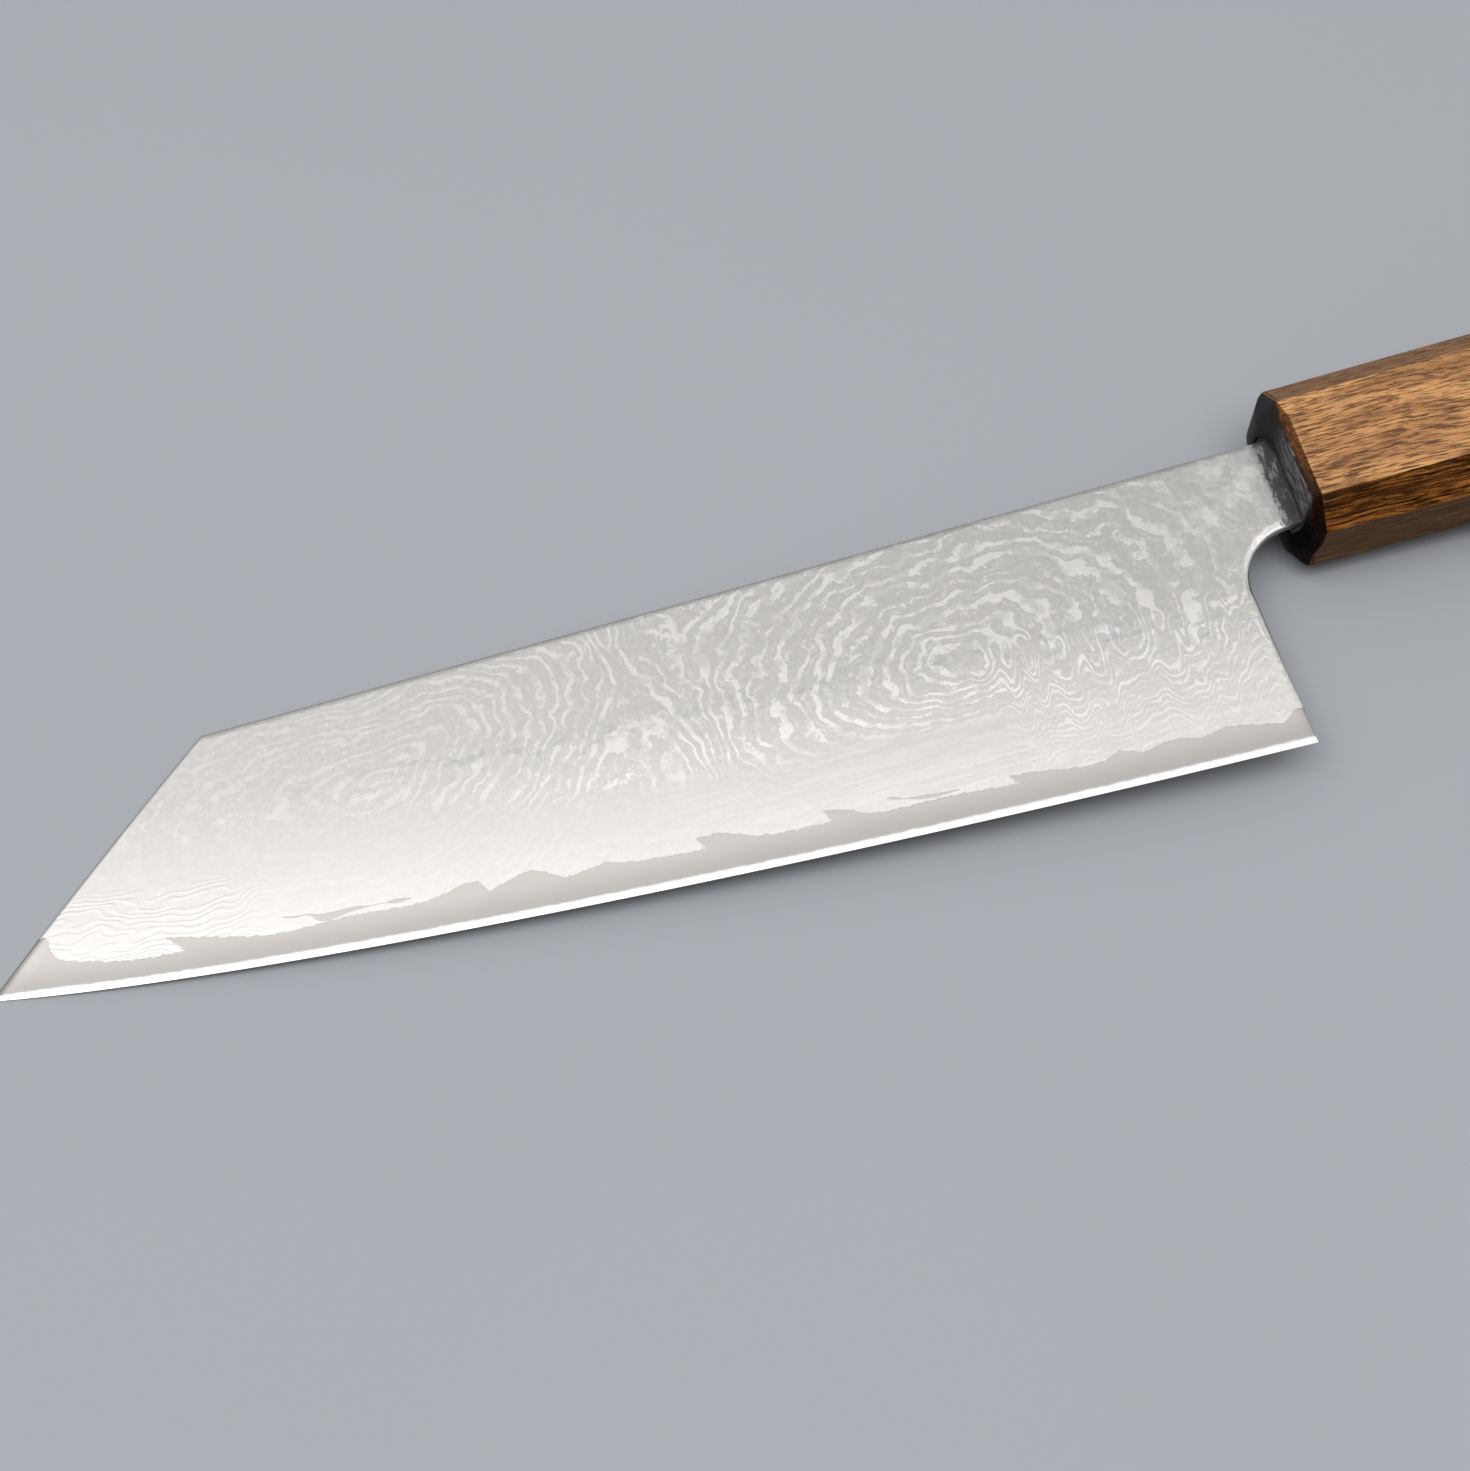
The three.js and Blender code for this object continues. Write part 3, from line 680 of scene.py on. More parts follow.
def damascusSteel(side):
    material, shader = newMaterial("damascus_" + side)
    coords = knifeCoords()
    x, y = axes(coords)[:2]
    moved = stretched(coords, (1, 1, 1), damascus["shift"][side])
    height, toLine = readMarks("aboveEdge"), readMarks("fromLine")
    field = layerCount(coords, moved, height, side)
    wave = sums("COSINE", times(plus(field, damascus["first"]), 2 * math.pi))
    # bright layers run from hair lines to ragged ribbons, some clear and some faint
    blob = noise(moved, 0.5, 4.0, 0.65)
    bead = noise(moved, 1.9, 4.0, 0.7)
    own = add("TexNoise", {"W": field, "Scale": 1.3, "Detail": 1.0}, noise_dimensions="1D").outputs[0]
    frayed = swing(bead, 0.55, "LINEAR")
    ribbon = plus(ramp(blob, 0.52, 0.7, 0.0, 0.65), ramp(own, 0.36, 0.64, -0.45, 0.6))
    line = ramp(plus(wave, ribbon, frayed), 0.28, 0.85)
    fleck = noise(stretched(moved, (1, 0.7, 1), (3, 9, 0)), 0.8, 4.0, 0.65)
    line = larger(line, ramp(fleck, 0.57, 0.7, 0.0, 0.8))
    # marbled, not lined, towards the neck
    marble = ramp(noise(moved, 0.35, 4.0, 0.6, 0.6), 0.44, 0.62)
    line = ramp(zone("marbled", x, y), 0, 1, line, marble, "LINEAR")
    # the pattern is plain on the flat, faint on the bevel and at the tip
    rise = minus(height, ramp(x, *damascus["flatFrom"]))
    onFlat = times(ramp(rise, 0, 5), ramp(x, *damascus["clearAlong"]))
    atHeel = zone("heel", x, height)
    between = times(ramp(minus(frayed, wave), 0.75, 1.05), ramp(blob, 0.55, 0.45))
    thin = times(between, ramp(rise, 0, 6, 0.0, 0.35))
    broken = ramp(noise(moved, 0.42, 3.0), 0.38, 0.57, 0.25, 1.0)
    line = times(larger(line, thin), broken, larger(onFlat, atHeel, damascus["faintest"]))
    mottle = ramp(noise(moved, 1.1, 4.0, 0.6), 0.4, 0.7, 0.0, 0.16)
    line = plus(line, times(mottle, ramp(rise, -4, 5, 0.3, 1.0)))
    colour = blend(line, damascus["ground"], damascus["line"])
    # drawn out streaks where the grinding lies nearly along the layers
    drawn = ramp(drawnNoise(moved, (0.1, 1.3, 1), 4.0, 0.6), 0.35, 0.7)
    drawn = times(drawn, zone("drawn", x, height))
    colour = blend(drawn, colour, damascus["line"])
    # thin grey border along the weld
    border = plus(toLine, swing(bead, 0.08))
    colour = blend(ramp(border, 0.16, 0.02, 0.0, 0.75), colour, damascus["weld"])
    # grey smears along the shoulder
    streak = drawnNoise(moved, (0.35, 0.7, 1), 5.0, 0.65)
    off = minus(height, ramp(x, *damascus["smearLine"], "LINEAR"))
    crease = times(sums("EXPONENT", times(off, off, -0.16)), ramp(x, *damascus["smearAlong"]))
    smear = times(crease, ramp(streak, 0.52, 0.66, 0.0, 0.6))
    colour = blend(smear, colour, damascus["smear"])
    # filler rubbed on the neck
    slant = plus(x, times(y, neckRub["lean"]))
    stop = plus(slant, swing(noise(coords, 0.9, 3.0), 0.3))
    onNeck = ramp(stop, neckRub["from"] - 0.05, neckRub["from"] + 0.2)
    rubbed = drawnNoise(coords, (1.2, 0.3, 1), 5.0, 0.7)
    thick = plus(rubbed, ramp(slant, *neckRub["thicker"], "LINEAR"))
    dirt = times(onNeck, ramp(thick, 0.45, 0.64, 0.1, 0.95))
    feed(shader["Base Color"], blend(dirt, colour, neckRub["colour"]))
    feed(shader["Metallic"], ramp(dirt, 0.0, 1.0, 1.0, 0.2, "LINEAR"))
    gloss = plus(ramp(line, 0, 1, 0.255, 0.235), swing(noise(moved, 1.3, 3.0), 0.02))
    feed(shader["Roughness"], plus(gloss, times(dirt, 0.25)))
    # etched lines stand proud, with fine ripples low at the tip
    rippled = ramp(drawnNoise(moved, (0.14, 0.25, 1), 1.5), 0.2, 0.8, -2.5, 2.5, "LINEAR")
    fine = sums("COSINE", times(plus(height, rippled), 2 * math.pi))
    fine = times(ramp(fine, -0.2, 0.9), zone("tip", x, height))
    proud = plus(times(line, ramp(rise, -4, 4, 0.2, 1.0)), fine)
    raised(shader, proud, 1.0, damascus["etched"])
    return material


# finish of the core: matte band shaded in scales from each tooth, bright cutting bevel

corePaint = {
    "band": (0.42, 0.398, 0.378), "shade": (0.403, 0.382, 0.362), "bevel": (0.76, 0.755, 0.745),
    "tone": (1.2, 5.2, 0.94, 1.21), "shadeUp": (1.4, 4.2, 0.35, 1.0),  # from and to above the edge, strengths
    "teeth": [  # foot of each scale's edge and how far it leans to the heel for a mm down
        ((-164.8, -21.9), 1.2), ((-121.8, -27.5), -1.2), ((-111.5, -28.6), -1.0), ((-93.4, -28.5), 1.2),
        ((-76, -29.6), 1.2), ((-50.6, -31.7), 1.2), ((-32.4, -33.4), -1.2), ((-24, -33.7), -1.2),
    ],
    "fade": 8,  # mm over which a scale lightens
    "bevelSoft": (0.3, -0.25),
    # the second clip entry is painted shade: a dark line along the clip's eased edge
    "nearClip": (2.8, 1.6, 1.0, 1.05), "clipEdgeShade": (1.0, 0.4, 1.0, 0.6),  # from and to off the clip, tones
}


def coreScales(parts):
    shade = 0.0
    for (x, y), lean in corePaint["teeth"]:
        past = minus(parts[0], x, times(minus(y, parts[1]), lean))
        fade = sums("EXPONENT", over(past, -corePaint["fade"]))
        after = ramp(past, -1.0, 1.0)
        kept = times(shade, minus(1.0, after))
        shade = plus(kept, times(after, sums("MINIMUM", fade, 1.0)))
    return shade


def coreFinish():
    material, shader = newMaterial("core_steel")
    coords = knifeCoords()
    height, corner, short = (readMarks(name) for name in ("aboveEdge", "fromClip", "bevelShare"))
    cloud = drawnNoise(coords, (0.2, 0.5, 1), 3.0)
    shade = times(coreScales(axes(coords)), spreadTo(cloud, 0.75, 1.1))
    shade = times(shade, ramp(height, *corePaint["shadeUp"]))
    colour = blend(shade, corePaint["band"], corePaint["shade"])
    tone = ramp(height, *corePaint["tone"])
    # lighter near the clip, with a line of painted shade along its eased edge
    for name in ("nearClip", "clipEdgeShade"):
        tone = times(tone, ramp(corner, *corePaint[name]))
    cut = plus(height, swing(drawnNoise(coords, (0.8, 1, 1)), 0.06))
    bevel = ramp(over(cut, short), *(blade["bevel"] + soft for soft in corePaint["bevelSoft"]))
    feed(shader["Base Color"], blend(bevel, scaled(colour, tone), corePaint["bevel"]))
    shader["Metallic"].default_value = 1.0
    matte = spreadTo(noise(coords, 4.0), 0.4, 0.46)
    feed(shader["Roughness"], minus(matte, times(bevel, 0.2)))
    brushed = drawnNoise(coords, (0.5, 9, 9))
    raised(shader, brushed, 0.15, 0.006)
    return material


# claddings with slivers of core let in, and the core under them

def cutAbove(path, y):  # part of a run above a height, with the cut point
    keep = path[path[:, 1] > y]
    rising = path[-1, 1] > path[0, 1]
    ordered = path if rising else path[::-1]
    cut = np.array([[np.interp(y, ordered[:, 1], ordered[:, 0]), y]])
    return np.vstack([cut, keep]) if rising else np.vstack([keep, cut])


def claddingPlate(side):
    line = weldPaths[side]
    clip, back = cutAbove(runs["clip"], line[0, 1]), cutAbove(runs["heelBack"], line[-1, 1])
    outline, wide, deep = joinRuns([
        ("clip", clip), ("spine", runs["spine"]), ("tang", runs["tang"]),
        ("neck", runs["neck"]), ("choil", runs["choil"]), ("heelBack", back), ("weldLine", line[::-1]),
    ], plateEasing)
    flat, tris = spread(outline, wide, [(ring, True) for ring in sliverPaths[side]])
    for ring in sliverPaths[side]:
        tris = tris[~inside(flat[tris].mean(1), ring)]
    bottom = coreHalf(flat[:, 0]) + blade["weldGap"]
    top, normal = eased(flat, outline, wide, deep, groundHalf(flat[:, 0], flat[:, 1]), bottom)
    top = np.maximum(top, bottom + blade["leastPlate"])
    under = np.tile((0.0, 0.0, -1.0), (len(flat), 1))
    mesh, where = closedPlate("cladding_" + side, flat, tris, top, bottom, normal, under)
    marks(mesh, "fromLine", nearest(where, line)[0])
    if side == "right":
        mesh.transform(Matrix.Scale(-1, 4, (0, 0, 1)))
        mesh.flip_normals()
    return mesh


def stepped(side):  # where the core is full: band and slivers, with the lines of the steps round them
    line = weldPaths[side]
    away = leftHand(line, False)
    middle = line - away * blade["weldGap"] * 0.75
    left, right, under = tipX - 30, 60, heelY - 30  # well outside the blade
    ends = [(right, middle[-1, 1]), (right, under), (left, under), (left, middle[0, 1])]
    band = np.vstack([middle, ends])
    paths = [(line - away * blade["weldGap"] * s, False) for s in (1.0, 0.5)]
    rings = []
    for ring in sliverPaths[side]:
        outward = leftHand(ring, True)
        paths += [(ring - outward * blade["weldGap"] * s, True) for s in (0.5, 1.0)]
        rings.append(ring - outward * blade["weldGap"] * 0.75)
    return band, rings, paths


def coreBody():
    names = ("edge", "clip", "spine", "tang", "neck", "choil", "heelBack")
    outline, wide, deep = joinRuns([(name, runs[name]) for name in names], coreEasing)
    bands = {side: stepped(side) for side in ("left", "right")}
    flat, tris = spread(outline, wide, [path for band, rings, paths in bands.values() for path in paths])
    ground, tilt = eased(flat, outline, wide, deep, groundHalf(flat[:, 0], flat[:, 1]), np.zeros(len(flat)))
    thin = np.minimum(coreHalf(flat[:, 0]), ground)
    heights, normals = [], []
    for band, rings, paths in bands.values():
        full = inside(flat, band)
        for ring in rings:
            full |= inside(flat, ring)
        heights.append(np.where(full, ground, thin))
        normals.append(np.where(full[:, None], tilt, (0.0, 0.0, 1.0)))
    left, right = normals[0], normals[1] * (1, 1, -1)
    mesh, where = closedPlate("core_steel", flat, tris, heights[0], -heights[1], left, right)
    marks(mesh, "fromClip", nearest(where, runs["clip"])[0])
    marks(mesh, "bevelShare", bevelShare(where[:, 0]))
    return mesh


for side in ("left", "right"):
    plate, steel = claddingPlate(side), damascusSteel(side)
    setDown("cladding_plate_" + side, plate, steel, "cladding_" + side)
setDown("core_blade", coreBody(), coreFinish(), "core_steel")


# handle: eight facets, crowned front end, mortise for the tang

handle = {
    "length": 135, "front": (23.4, 18, 4.1), "rear": (26, 20, 4.6), "frontChamfer": 1.2, "rearChamfer": 1.5,
    "crown": 1.8, "crownLip": 0.8, "crownReach": 5.4, "dish": 0.12,
    "roundRight": (1.8, -3.6), "roundBack": (4.5, 3.5),  # where the front starts to round, how far on
    "arris": 0.35, "arrisShare": 0.3, "leastFacet": 0.2,
    "facetCuts": (6, 4, 10, 4, 6, 4, 10, 4), "arcCuts": 3,
    "plainRings": (3.5, 1.0), "ringStep": 2.0, "floorRing": 0.05,
    "glueLine": 0.9, "glueEnd": 3, "mortiseEase": 0.18, "mortiseRings": (60, 20, blade["neckDepth"], 1.5),
    "faceRings": (0, 0.01, 0.06, 0.16, 0.28, 0.4, 0.52, 0.64, 0.75, 0.84, 0.91, 0.96, 0.985),
    "frontRings": [  # x and inset
        (0.02, 1.17), (0.12, 1.08), (0.6, 0.6), (1.06, 0.14), (1.2, 0.05), (1.42, 0.01), (1.8, 0),
    ],
    "rearRings": [  # from the butt and inset
        (1.75, 0), (1.5, 0.03), (1.38, 0.12), (0.75, 0.75), (0.14, 1.36), (0.03, 1.5), (0, 1.7),
    ],
    "buttInset": 1.9, "buttRings": (1, 0.92, 0.75, 0.5, 0.25, 0.06),
}


def octagon(size, inset, soft):
    height, width, facet = size
    y, z = height / 2 - inset, width / 2 - inset
    c = max(facet - inset * (2 - math.sqrt(2)), handle["leastFacet"])
    half = [(y, c - z), (y, z - c), (y - c, z), (c - y, z)]
    corners = np.array(half + [(-a, -b) for a, b in half])
    ring = []
    for i, cuts in enumerate(handle["facetCuts"]):
        a, b, after = corners[i], corners[(i + 1) % 8], corners[(i + 2) % 8]
        d1, d2 = unit(b - a), unit(after - b)
        most = handle["arrisShare"] * min(lengths(b - a), lengths(after - b))
        pull = min(soft * math.tan(math.radians(22.5)), most)
        ring += [a + d1 * pull + (b - a - 2 * d1 * pull) * k / cuts for k in range(cuts + 1)]
        start, end = b - d1 * pull, b + d2 * pull
        for k in range(1, handle["arcCuts"]):
            t = k / handle["arcCuts"]
            ring.append(start * (1 - t) ** 2 + b * 2 * t * (1 - t) + end * t ** 2)
    return np.array(ring)


def handleSize(x):
    share = x / handle["length"]
    return [f + (r - f) * share for f, r in zip(handle["front"], handle["rear"])]


def crownAt(ring, flat=0.0):  # x of the front end: flat on the left, rounded at the back and on the right
    height, width, facet = handleSize(0)
    y, z = np.abs(ring[:, 0]), np.abs(ring[:, 1])
    slant = (height / 2 + width / 2 - facet - y - z) / math.sqrt(2)
    inset = np.minimum(np.minimum(height / 2 - y, width / 2 - z), slant)
    (right, overRight), (back, overBack) = handle["roundRight"], handle["roundBack"]
    across = np.maximum((ring[:, 1] - right) / overRight, (ring[:, 0] - back) / overBack).clip(0, 1)
    across = across * across * (3 - 2 * across)
    out = 1 - np.clip(inset / handle["crownReach"], 0, 1)
    rounded = handle["crownLip"] - (handle["crown"] + handle["crownLip"]) * np.sqrt(1 - out ** 2)
    return rounded * across + flat * (1 - across)


def slotAround(ring, height, width):  # points of a round-ended slot at the same bearings as a ring
    bearing = np.arctan2(ring[:, 1], ring[:, 0] - neckMiddle)
    cy, cz = np.cos(bearing), np.sin(bearing)
    radius, reach = width / 2, height / 2 - width / 2
    side = radius / np.maximum(np.abs(cz), 1e-9)
    onSide = np.abs(cy * side) <= reach
    mid = np.abs(cy) * reach
    end = mid + np.sqrt(np.maximum(mid ** 2 - reach ** 2 + radius ** 2, 0))
    far = np.where(onSide, side, end)
    return np.stack([neckMiddle + cy * far, cz * far], 1)


def mortise(x):
    depth = blade["tangLength"] + handle["glueEnd"]
    share = max(x - blade["neckDepth"], 0) / (depth - blade["neckDepth"])
    mouth = (blade["neckHeight"], blade["spineAtHeel"])
    return [m + (e - m) * share + 2 * handle["glueLine"] for m, e in zip(mouth, blade["tangEnd"])]


def loftMesh(name, rings, closed=False):
    count = len(rings[0])
    verts = np.vstack(rings) * mm
    faces = []
    stop = len(rings) if closed else len(rings) - 1
    for r in range(stop):
        a, b = r * count, (r + 1) % len(rings) * count
        faces += [(a + i, a + (i + 1) % count, b + (i + 1) % count, b + i) for i in range(count)]
    if not closed:
        last = (len(rings) - 1) * count
        faces += [tuple(range(count - 1, -1, -1)), tuple(range(last, last + count))]
    mesh = bpy.data.meshes.new(name)
    mesh.from_pydata(verts.tolist(), [], faces)
    mesh.polygons.foreach_set("use_smooth", [True] * len(mesh.polygons))
    return mesh


def stood(x, ring):  # a ring set at one x
    return np.column_stack([np.full(len(ring), x), ring])


def ringAt(x, inset):
    return stood(x, octagon(handleSize(x), inset, handle["arris"]))


def handleRings():
    length = handle["length"]
    front, rim = (ringAt(0, inset)[:, 1:] for inset in (0, handle["frontChamfer"]))
    rings = []
    depth = blade["tangLength"] + handle["glueEnd"]
    for x in (depth, depth - handle["floorRing"], *handle["mortiseRings"]):
        hole = [m + 2 * handle["mortiseEase"] for m in mortise(x)]
        rings.append(stood(x, slotAround(front, *hole)))
    slot = slotAround(front, *mortise(0))
    for t in handle["faceRings"]:
        ring = slot * (1 - t) + rim * t
        rings.append(np.column_stack([crownAt(ring, -handle["dish"] * math.sin(t * math.pi)), ring]))
    for x, inset in handle["frontRings"]:
        ring = ringAt(x, inset)
        ring[:, 0] = crownAt(ring[:, 1:], x)
        rings.append(ring)
    first, short = handle["plainRings"]
    plain = np.arange(first, length - handle["rearChamfer"] - short, handle["ringStep"])
    rings += [ringAt(x, 0) for x in plain]
    rings += [ringAt(length - back, inset) for back, inset in handle["rearRings"]]
    butt = ringAt(length, handle["buttInset"])
    return rings + [butt * (1, share, share) for share in handle["buttRings"]]


# oak: golden brown, dark pores in dashes, black front end

oak = {
    "light": (0.68, 0.347, 0.135), "mid": (0.39, 0.19, 0.077), "dark": (0.12, 0.054, 0.026),
    "pore": (0.075, 0.036, 0.021), "grainSlope": 0.05,
    # the darker black after the stain is painted shade
    "stain": (0.0135, 0.0115, 0.010), "shadeBlack": (0.003, 0.002, 0.001), "rub": (0.26, 0.26, 0.275),
    "facets": [  # y of a facet's normal where its painted shade comes in and gives way, how even it is, shading tint, streaks
        ((-0.35, -0.65), (-0.8, -0.95), 0.0, (0.31, 0.222, 0.11), 0.75),
        ((-0.8, -0.95), (-2, -3), 0.6, (0.37, 0.37, 0.36), 0.25),
        ((0.35, 0.65), (2, 3), 0.3, (0.54, 0.54, 0.55), 0.2),
    ],
    "even": (0.33, 0.165, 0.07),
    # the lighter front rim tint is a painted glint
    "frontGrain": (0.035, 0.022, 0.012), "frontGlint": (0.35, 0.26, 0.16), "buttGrain": (0.42, 0.36, 0.32),
    "pores": [((0.2, 2.8, 2.8), 0.42, 0), ((0.3, 4.2, 4.2), 0.38, 7)],  # cells to a mm, size, shift
    "endGrain": (0.25, 0.5),  # how far a face looks along the handle
    # painted shade darkens the front end towards the edge side over these y
    # the painted glint on the front rim comes in over these x and towards the spine side over these y
    "blackTo": (0.3, -0.05), "rimGlintFrom": (0.1, 0.5), "rimGlintUp": (-9, 4), "shadeDown": (-6.5, -8.5),
    "rubOut": (0.9, 1.6), "rubTop": (5.5, 0.0), "rubFoot": (-8.0, -7.0),
}


def oakFinish():
    material, shader = newMaterial("oiled_oak")
    coords = knifeCoords()
    x, y, z = axes(coords)
    drifted = pushed(coords, stretched(coords, (0.05, 0.1, 0.1)), 1.0, 2.0, (0, 2.4, 2.4))
    grain = stretched(drifted, (1, 1, 1), (0, 0, 0), (0, 0, oak["grainSlope"]))
    broad = drawnNoise(grain, (0.06, 0.34, 0.34), 3.0, 0.55)
    fine = drawnNoise(grain, (0.25, 3.2, 3.2), 4.0, 0.65)
    hair = drawnNoise(grain, (0.4, 8, 8), 2.0, 0.6)
    colour = blend(ramp(broad, 0.36, 0.64), oak["light"], oak["mid"])
    colour = blend(ramp(fine, 0.46, 0.62, 0.0, 0.95), colour, oak["dark"])
    colour = blend(ramp(hair, 0.5, 0.72, 0.0, 0.55), colour, oak["dark"])
    dashes = 0.0
    for scale, size, seed in oak["pores"]:
        sockets = {"Vector": stretched(grain, scale, (seed, seed, seed)), "Scale": 1.0}
        cells = add("TexVoronoi", sockets).outputs
        picked = ramp(axes(cells["Color"])[0], 0.42, 0.5)
        dashes = larger(dashes, times(ramp(cells["Distance"], size, size * 0.4), picked))
    wood = colour = blend(times(dashes, 0.85), colour, oak["pore"])
    # painted shade: facets turned to the edge and to the spine are darkened by their normals, with streaks of
    # the wood; top and bottom facets keep the plain wood
    faceX, faceY = axes(add("TexCoord").outputs["Normal"])[:2]
    streak = drawnNoise(grain, (0.07, 2.6, 2.6), 3.0, 0.6, (5, 5, 5))
    offButt = ramp(faceX, *oak["endGrain"], 1.0, 0.0)
    for comes, goes, even, tint, strong in oak["facets"]:
        on = times(ramp(faceY, *comes), ramp(faceY, *goes, 1.0, 0.0), offButt)
        shadedFacet = blend(1.0, blend(even, wood, oak["even"]), tint, "MULTIPLY")
        shadedFacet = scaled(shadedFacet, ramp(streak, 0.4, 0.62, 1 - strong, 1 + strong))
        colour = blend(on, colour, shadedFacet)
    # end grain drinks more oil; the rim of the front is lighter brown towards its back and its spine side, a
    # painted glint
    blotch = drawnNoise(coords, (1, 0.7, 0.7), 3.0)
    rimGlint = ramp(plus(x, swing(blotch, 0.25)), *oak["rimGlintFrom"])
    rimGlint = times(rimGlint, ramp(y, *oak["rimGlintUp"]))
    frontGrain = blend(rimGlint, oak["frontGrain"], oak["frontGlint"])
    for facing, tint in ((times(faceX, -1.0), frontGrain), (faceX, oak["buttGrain"])):
        on = ramp(facing, *oak["endGrain"])
        colour = blend(on, colour, blend(1.0, colour, tint, "MULTIPLY"))
    # black front end with grey rub marks, painted darker towards the edge side as painted shade
    front = ramp(plus(x, swing(blotch, 0.2)), *oak["blackTo"])
    rubbed = drawnNoise(coords, (1, 0.3, 1.7), 5.0, 0.7)
    near = times(ramp(z, *oak["rubOut"]), ramp(y, *oak["rubTop"]))
    near = times(near, ramp(y, *oak["rubFoot"]))
    rub = times(near, ramp(rubbed, 0.4, 0.64, 0.0, 0.95))
    stain = blend(ramp(y, *oak["shadeDown"]), oak["stain"], oak["shadeBlack"])
    black = blend(rub, stain, oak["rub"])
    feed(shader["Base Color"], blend(front, colour, black))
    feed(shader["Roughness"], spreadTo(fine, 0.46, 0.62))
    # painted shade: less shine towards the edge side
    feed(shader["Specular IOR Level"], ramp(y, *oak["shadeDown"], 0.2, 0.05))
    raised(shader, minus(times(fine, 0.4), dashes), 0.5, 0.05)
    return material


handleMesh = loftMesh("handle_wood", handleRings())
handlePiece = setDown("handle_octagon", handleMesh, oakFinish(), "handle_body")
handlePiece.modifiers.new("facetShading", "WEIGHTED_NORMAL").keep_sharp = True


# filler round the neck at the mouth of the handle

seal = {
    "sunk": 0.12, "depth": 2.5, "gap": 0.03, "lump": 0.14, "waves": (3, 5, 9, 14), "seed": 5,
    "profile": [  # share of the way in to the neck, mm behind the front
        (0, 0.4), (0.08, 0.12), (0.3, 0.02), (0.55, 0), (0.8, 0.04), (0.97, 0.12), (1, 0.4),
    ],
    "dark": (0.018, 0.017, 0.018), "dull": (0.04, 0.04, 0.043), "rubbed": (0.13, 0.13, 0.14),
}


def sealRings():
    guide = ringAt(0, 0)[:, 1:]
    outer = slotAround(guide, *(m - 2 * seal["gap"] for m in mortise(0)))
    bearing = np.arctan2(guide[:, 1], guide[:, 0] - neckMiddle)
    halfY = blade["neckHeight"] / 2 + seal["gap"]
    halfZ = float(faceHalf(0.0, blade["spineAboveAxis"])) + seal["gap"]
    across, out = np.cos(bearing), np.sin(bearing)
    far = np.minimum(halfY / np.maximum(np.abs(across), 1e-9), halfZ / np.maximum(np.abs(out), 1e-9))
    inner = np.stack([neckMiddle + across * far, out * far], 1)
    for y, z in ((halfY, halfZ), (-halfY, halfZ), (-halfY, -halfZ), (halfY, -halfZ)):  # square corners
        inner[np.argmin(np.abs(bearing - math.atan2(z, y)))] = (neckMiddle + y, z)
    phases = np.random.default_rng(seal["seed"]).uniform(0, fullTurn, len(seal["waves"]))
    lumps = sum(np.sin(bearing * k + p) for k, p in zip(seal["waves"], phases)) / len(phases) * seal["lump"]
    rings = []
    for t, back in seal["profile"]:
        ring = outer * (1 - t) + inner * t
        front = crownAt(ring) + seal["sunk"] + lumps * (1 - abs(2 * t - 1))
        rings.append(np.column_stack([front + back, ring]))
    return [stood(seal["depth"], inner), *rings[::-1], stood(seal["depth"], outer)]


def fillerFinish():
    material, shader = newMaterial("black_filler")
    coords = knifeCoords()
    lumps = noise(coords, 1.4, 4.0, 0.6)
    streak = drawnNoise(coords, (1, 0.4, 2), 4.0, 0.7)
    colour = blend(ramp(lumps, 0.4, 0.7), seal["dark"], seal["dull"])
    feed(shader["Base Color"], blend(ramp(streak, 0.58, 0.72, 0.0, 0.7), colour, seal["rubbed"]))
    feed(shader["Roughness"], spreadTo(lumps, 0.45, 0.7))
    raised(shader, lumps, 0.5, 0.08)
    return material


setDown("mouth_filler", loftMesh("mouth_filler", sealRings(), True), fillerFinish(), "mouth_seal")


# resin round the tang, out of sight in the handle

resin = {"clear": (0.27, 0.21, 0.12), "cloud": (0.21, 0.16, 0.08), "bubble": (0.34, 0.28, 0.18)}


def resinFinish():
    material, shader = newMaterial("amber_resin")
    coords = knifeCoords()
    cloud = noise(coords, 0.3, 3.0)
    bubbles = add("TexVoronoi", {"Vector": coords, "Scale": 1.2}).outputs["Distance"]
    colour = blend(ramp(cloud, 0.35, 0.65), resin["clear"], resin["cloud"])
    feed(shader["Base Color"], blend(ramp(bubbles, 0.2, 0.1), colour, resin["bubble"]))
    feed(shader["Roughness"], spreadTo(cloud, 0.5, 0.65))
    return material


bedding = frame["nodes"]["tang_bedding"]
bedding.data.materials.clear()
bedding.data.materials.append(resinFinish())
print("resin keeps its solid")


# floor, light and camera

stage = {"colour": (0.378, 0.396, 0.424), "cloud": (0.985, 1.015), "rough": 0.85, "shine": 0.15, "reach": 4.0}


def floorPlane():
    r = stage["reach"]
    mesh = bpy.data.meshes.new("floor")
    mesh.from_pydata([(-r, -r, 0), (r, -r, 0), (r, r, 0), (-r, r, 0)], [], [(0, 1, 2, 3)])
    floor = bpy.data.objects.new("floor", mesh)
    scene.collection.objects.link(floor)
    material, shader = newMaterial("pale_floor")
    cloud = noise(add("TexCoord").outputs["Object"], 6.0, 3.0)
    low, high = (tuple(c * s for c in stage["colour"]) for s in stage["cloud"])
    feed(shader["Base Color"], blend(cloud, low, high))
    shader["Roughness"].default_value = stage["rough"]
    shader["Specular IOR Level"].default_value = stage["shine"]
    mesh.materials.append(material)


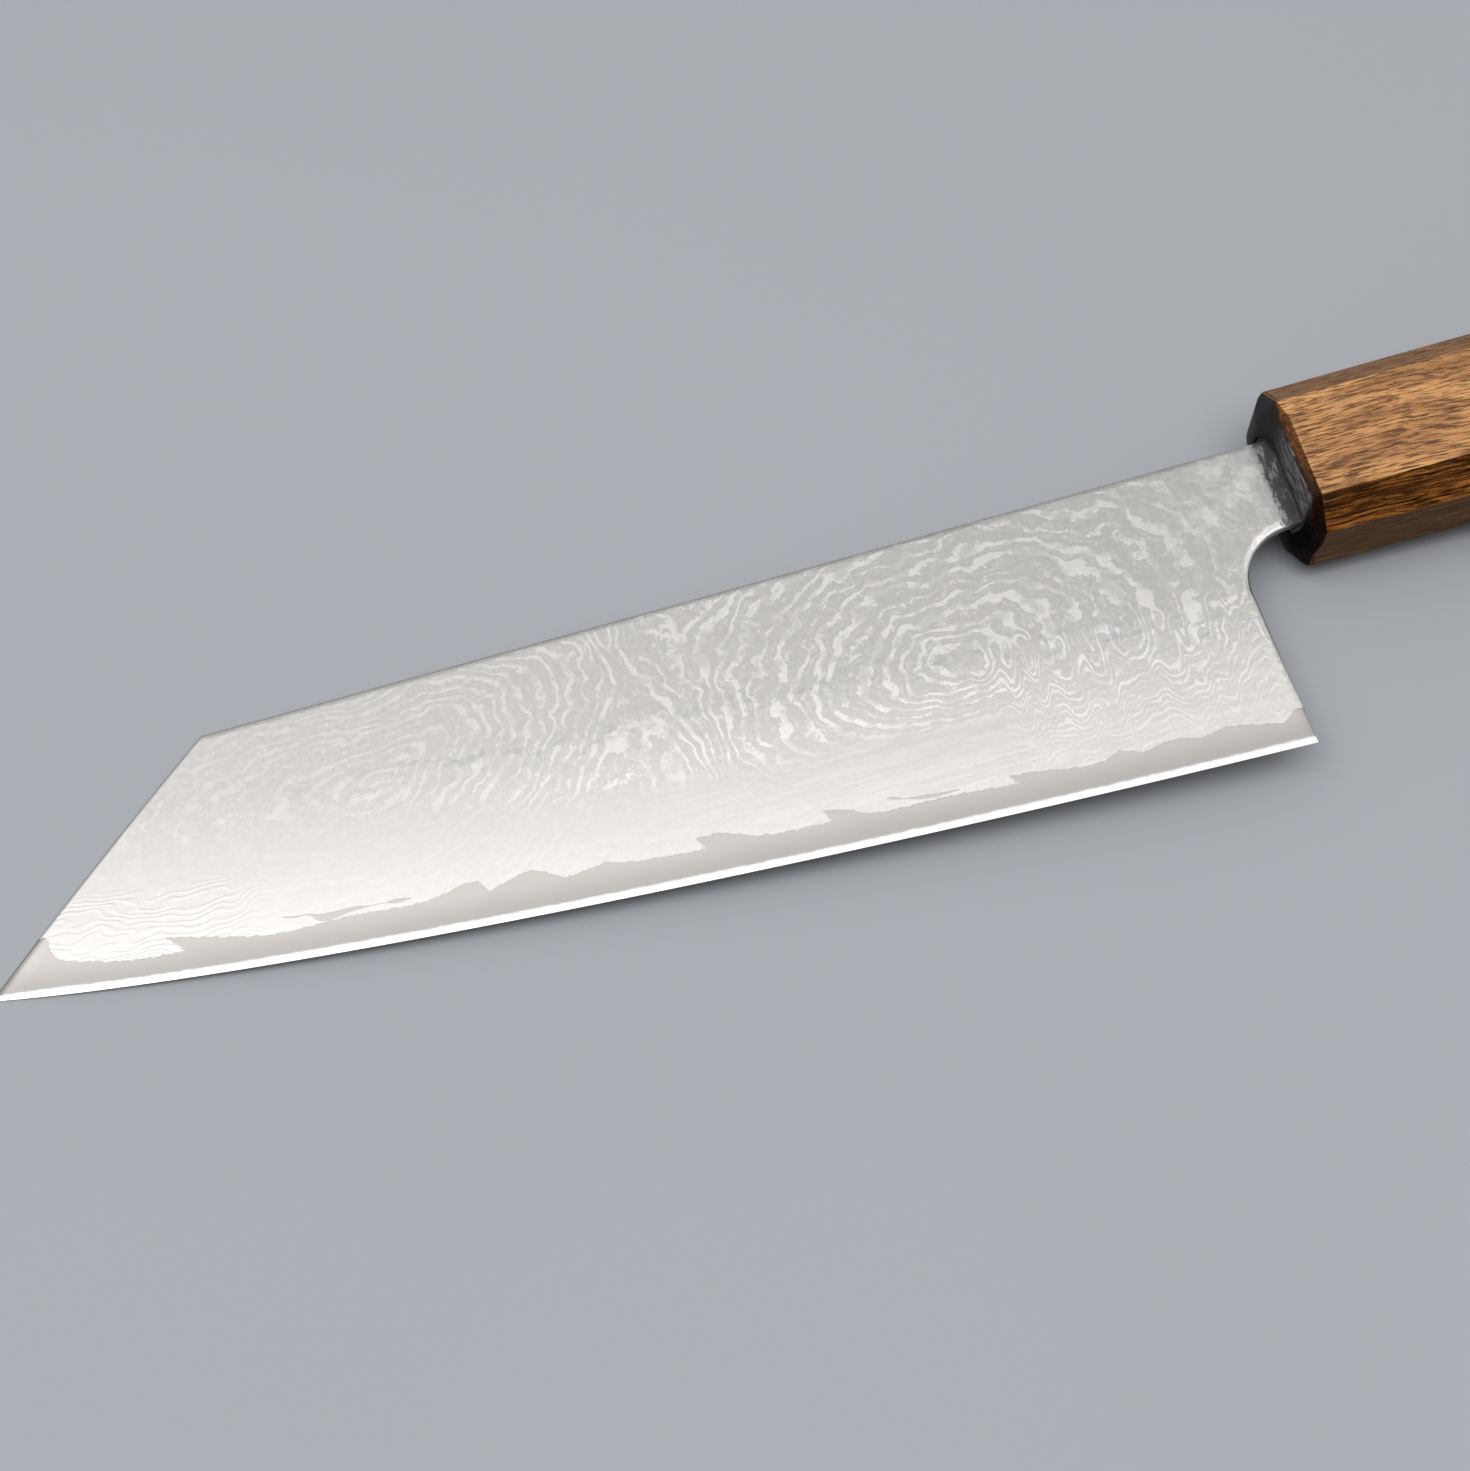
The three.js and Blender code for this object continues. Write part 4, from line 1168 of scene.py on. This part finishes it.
# pale ceiling, level start + slope . direction, dim towards the walls and over the near side
sky = {
    "start": 1.25, "slope": (-0.35, -0.94, 0), "rise": (0.4, 0.85), "near": (-0.45, 0.1),
    "walls": (0.22, 0.42), "farWall": (0.2, 0.8),
    # what the steel mirrors: brighter from y to y, its levels from left to right, where that ends
    "strip": (0.362, 0.212), "stripTurn": (0.074, 1, 0),
    "stripLow": (-0.25, 0.25, 0.965, 0.675), "stripHigh": (-0.25, 0.25, 3.2, 1.55),
    "stripEnd": (0.02, 0.14), "overhead": (-0.1, -0.3, 1.3, 2.0), "mirroredWalls": 0.5,
}


def studioSky():
    world = bpy.data.worlds.new("studio")
    scene.world = world
    world.use_nodes = True
    bench["tree"] = world.node_tree
    ray = add("TexCoord").outputs["Generated"]
    x, y, z = axes(ray)
    ceiling = times(ramp(z, *sky["rise"]), ramp(y, *sky["near"]))
    walls = ramp(y, *sky["farWall"], *sky["walls"])
    level = ramp(ceiling, 0, 1, walls, plus(dot(ray, sky["slope"]), sky["start"]), "LINEAR")
    low, high = (ramp(x, *sky[k], "LINEAR") for k in ("stripLow", "stripHigh"))
    strip = ramp(dot(ray, sky["stripTurn"]), *sky["strip"], low, high)
    strip = ramp(y, *sky["stripEnd"], ramp(y, *sky["overhead"]), strip)
    mirrored = ramp(z, *sky["rise"], sky["mirroredWalls"], strip)
    rays = add("LightPath").outputs
    level = ramp(rays["Is Glossy Ray"], 0, 1, level, mirrored, "LINEAR")
    grey = add("CombineColor", {0: level, 1: level, 2: level}).outputs[0]
    seen = blend(rays["Is Camera Ray"], grey, stage["colour"])
    feed(world.node_tree.nodes["Background"].inputs["Color"], seen)


# softbox straight overhead
softbox = {"level": 3.55, "size": (1.14, 0.53), "middle": (-0.15, -0.115, 1.0), "turn": -20}


def softboxLamp():
    lamp = bpy.data.lights.new("softbox", "AREA")
    lamp.shape = "RECTANGLE"
    lamp.size, lamp.size_y = softbox["size"]
    lamp.energy = softbox["level"] * math.pi * softbox["size"][0] * softbox["size"][1]
    light = bpy.data.objects.new("softbox", lamp)
    light.location = softbox["middle"]
    light.rotation_euler = (0, 0, math.radians(softbox["turn"]))
    light.visible_glossy = False  # the steel mirrors the ceiling only
    scene.collection.objects.link(light)


view = {
    "azimuth": -15.643, "elevation": 67.146, "roll": 0.08, "distance": 0.33226,
    "aim": Vector((-0.05704, -0.00037, 0)), "focal": 2400, "tall": 1471,  # pixels
    "sensor": 36, "nearest": 0.01,
}


def cameraStand():
    az, el, roll = (math.radians(view[k]) for k in ("azimuth", "elevation", "roll"))
    back = Vector((math.sin(az) * math.cos(el), -math.cos(az) * math.cos(el), math.sin(el)))
    right = Vector((0, 0, 1)).cross(back).normalized()
    up = back.cross(right)
    right, up = right * math.cos(roll) + up * math.sin(roll), up * math.cos(roll) - right * math.sin(roll)
    camera = bpy.data.cameras.new("camera")
    camera.sensor_fit = "VERTICAL"
    camera.sensor_height = view["sensor"]
    camera.lens = view["focal"] * camera.sensor_height / view["tall"]
    camera.clip_start = view["nearest"]
    stand = bpy.data.objects.new("camera", camera)
    stand.matrix_world = Matrix((right, up, back)).transposed().to_4x4()
    stand.location = view["aim"] + back * view["distance"]
    scene.collection.objects.link(stand)
    scene.camera = stand


floorPlane()
studioSky()
softboxLamp()
cameraStand()
print("floor, light and camera are up")
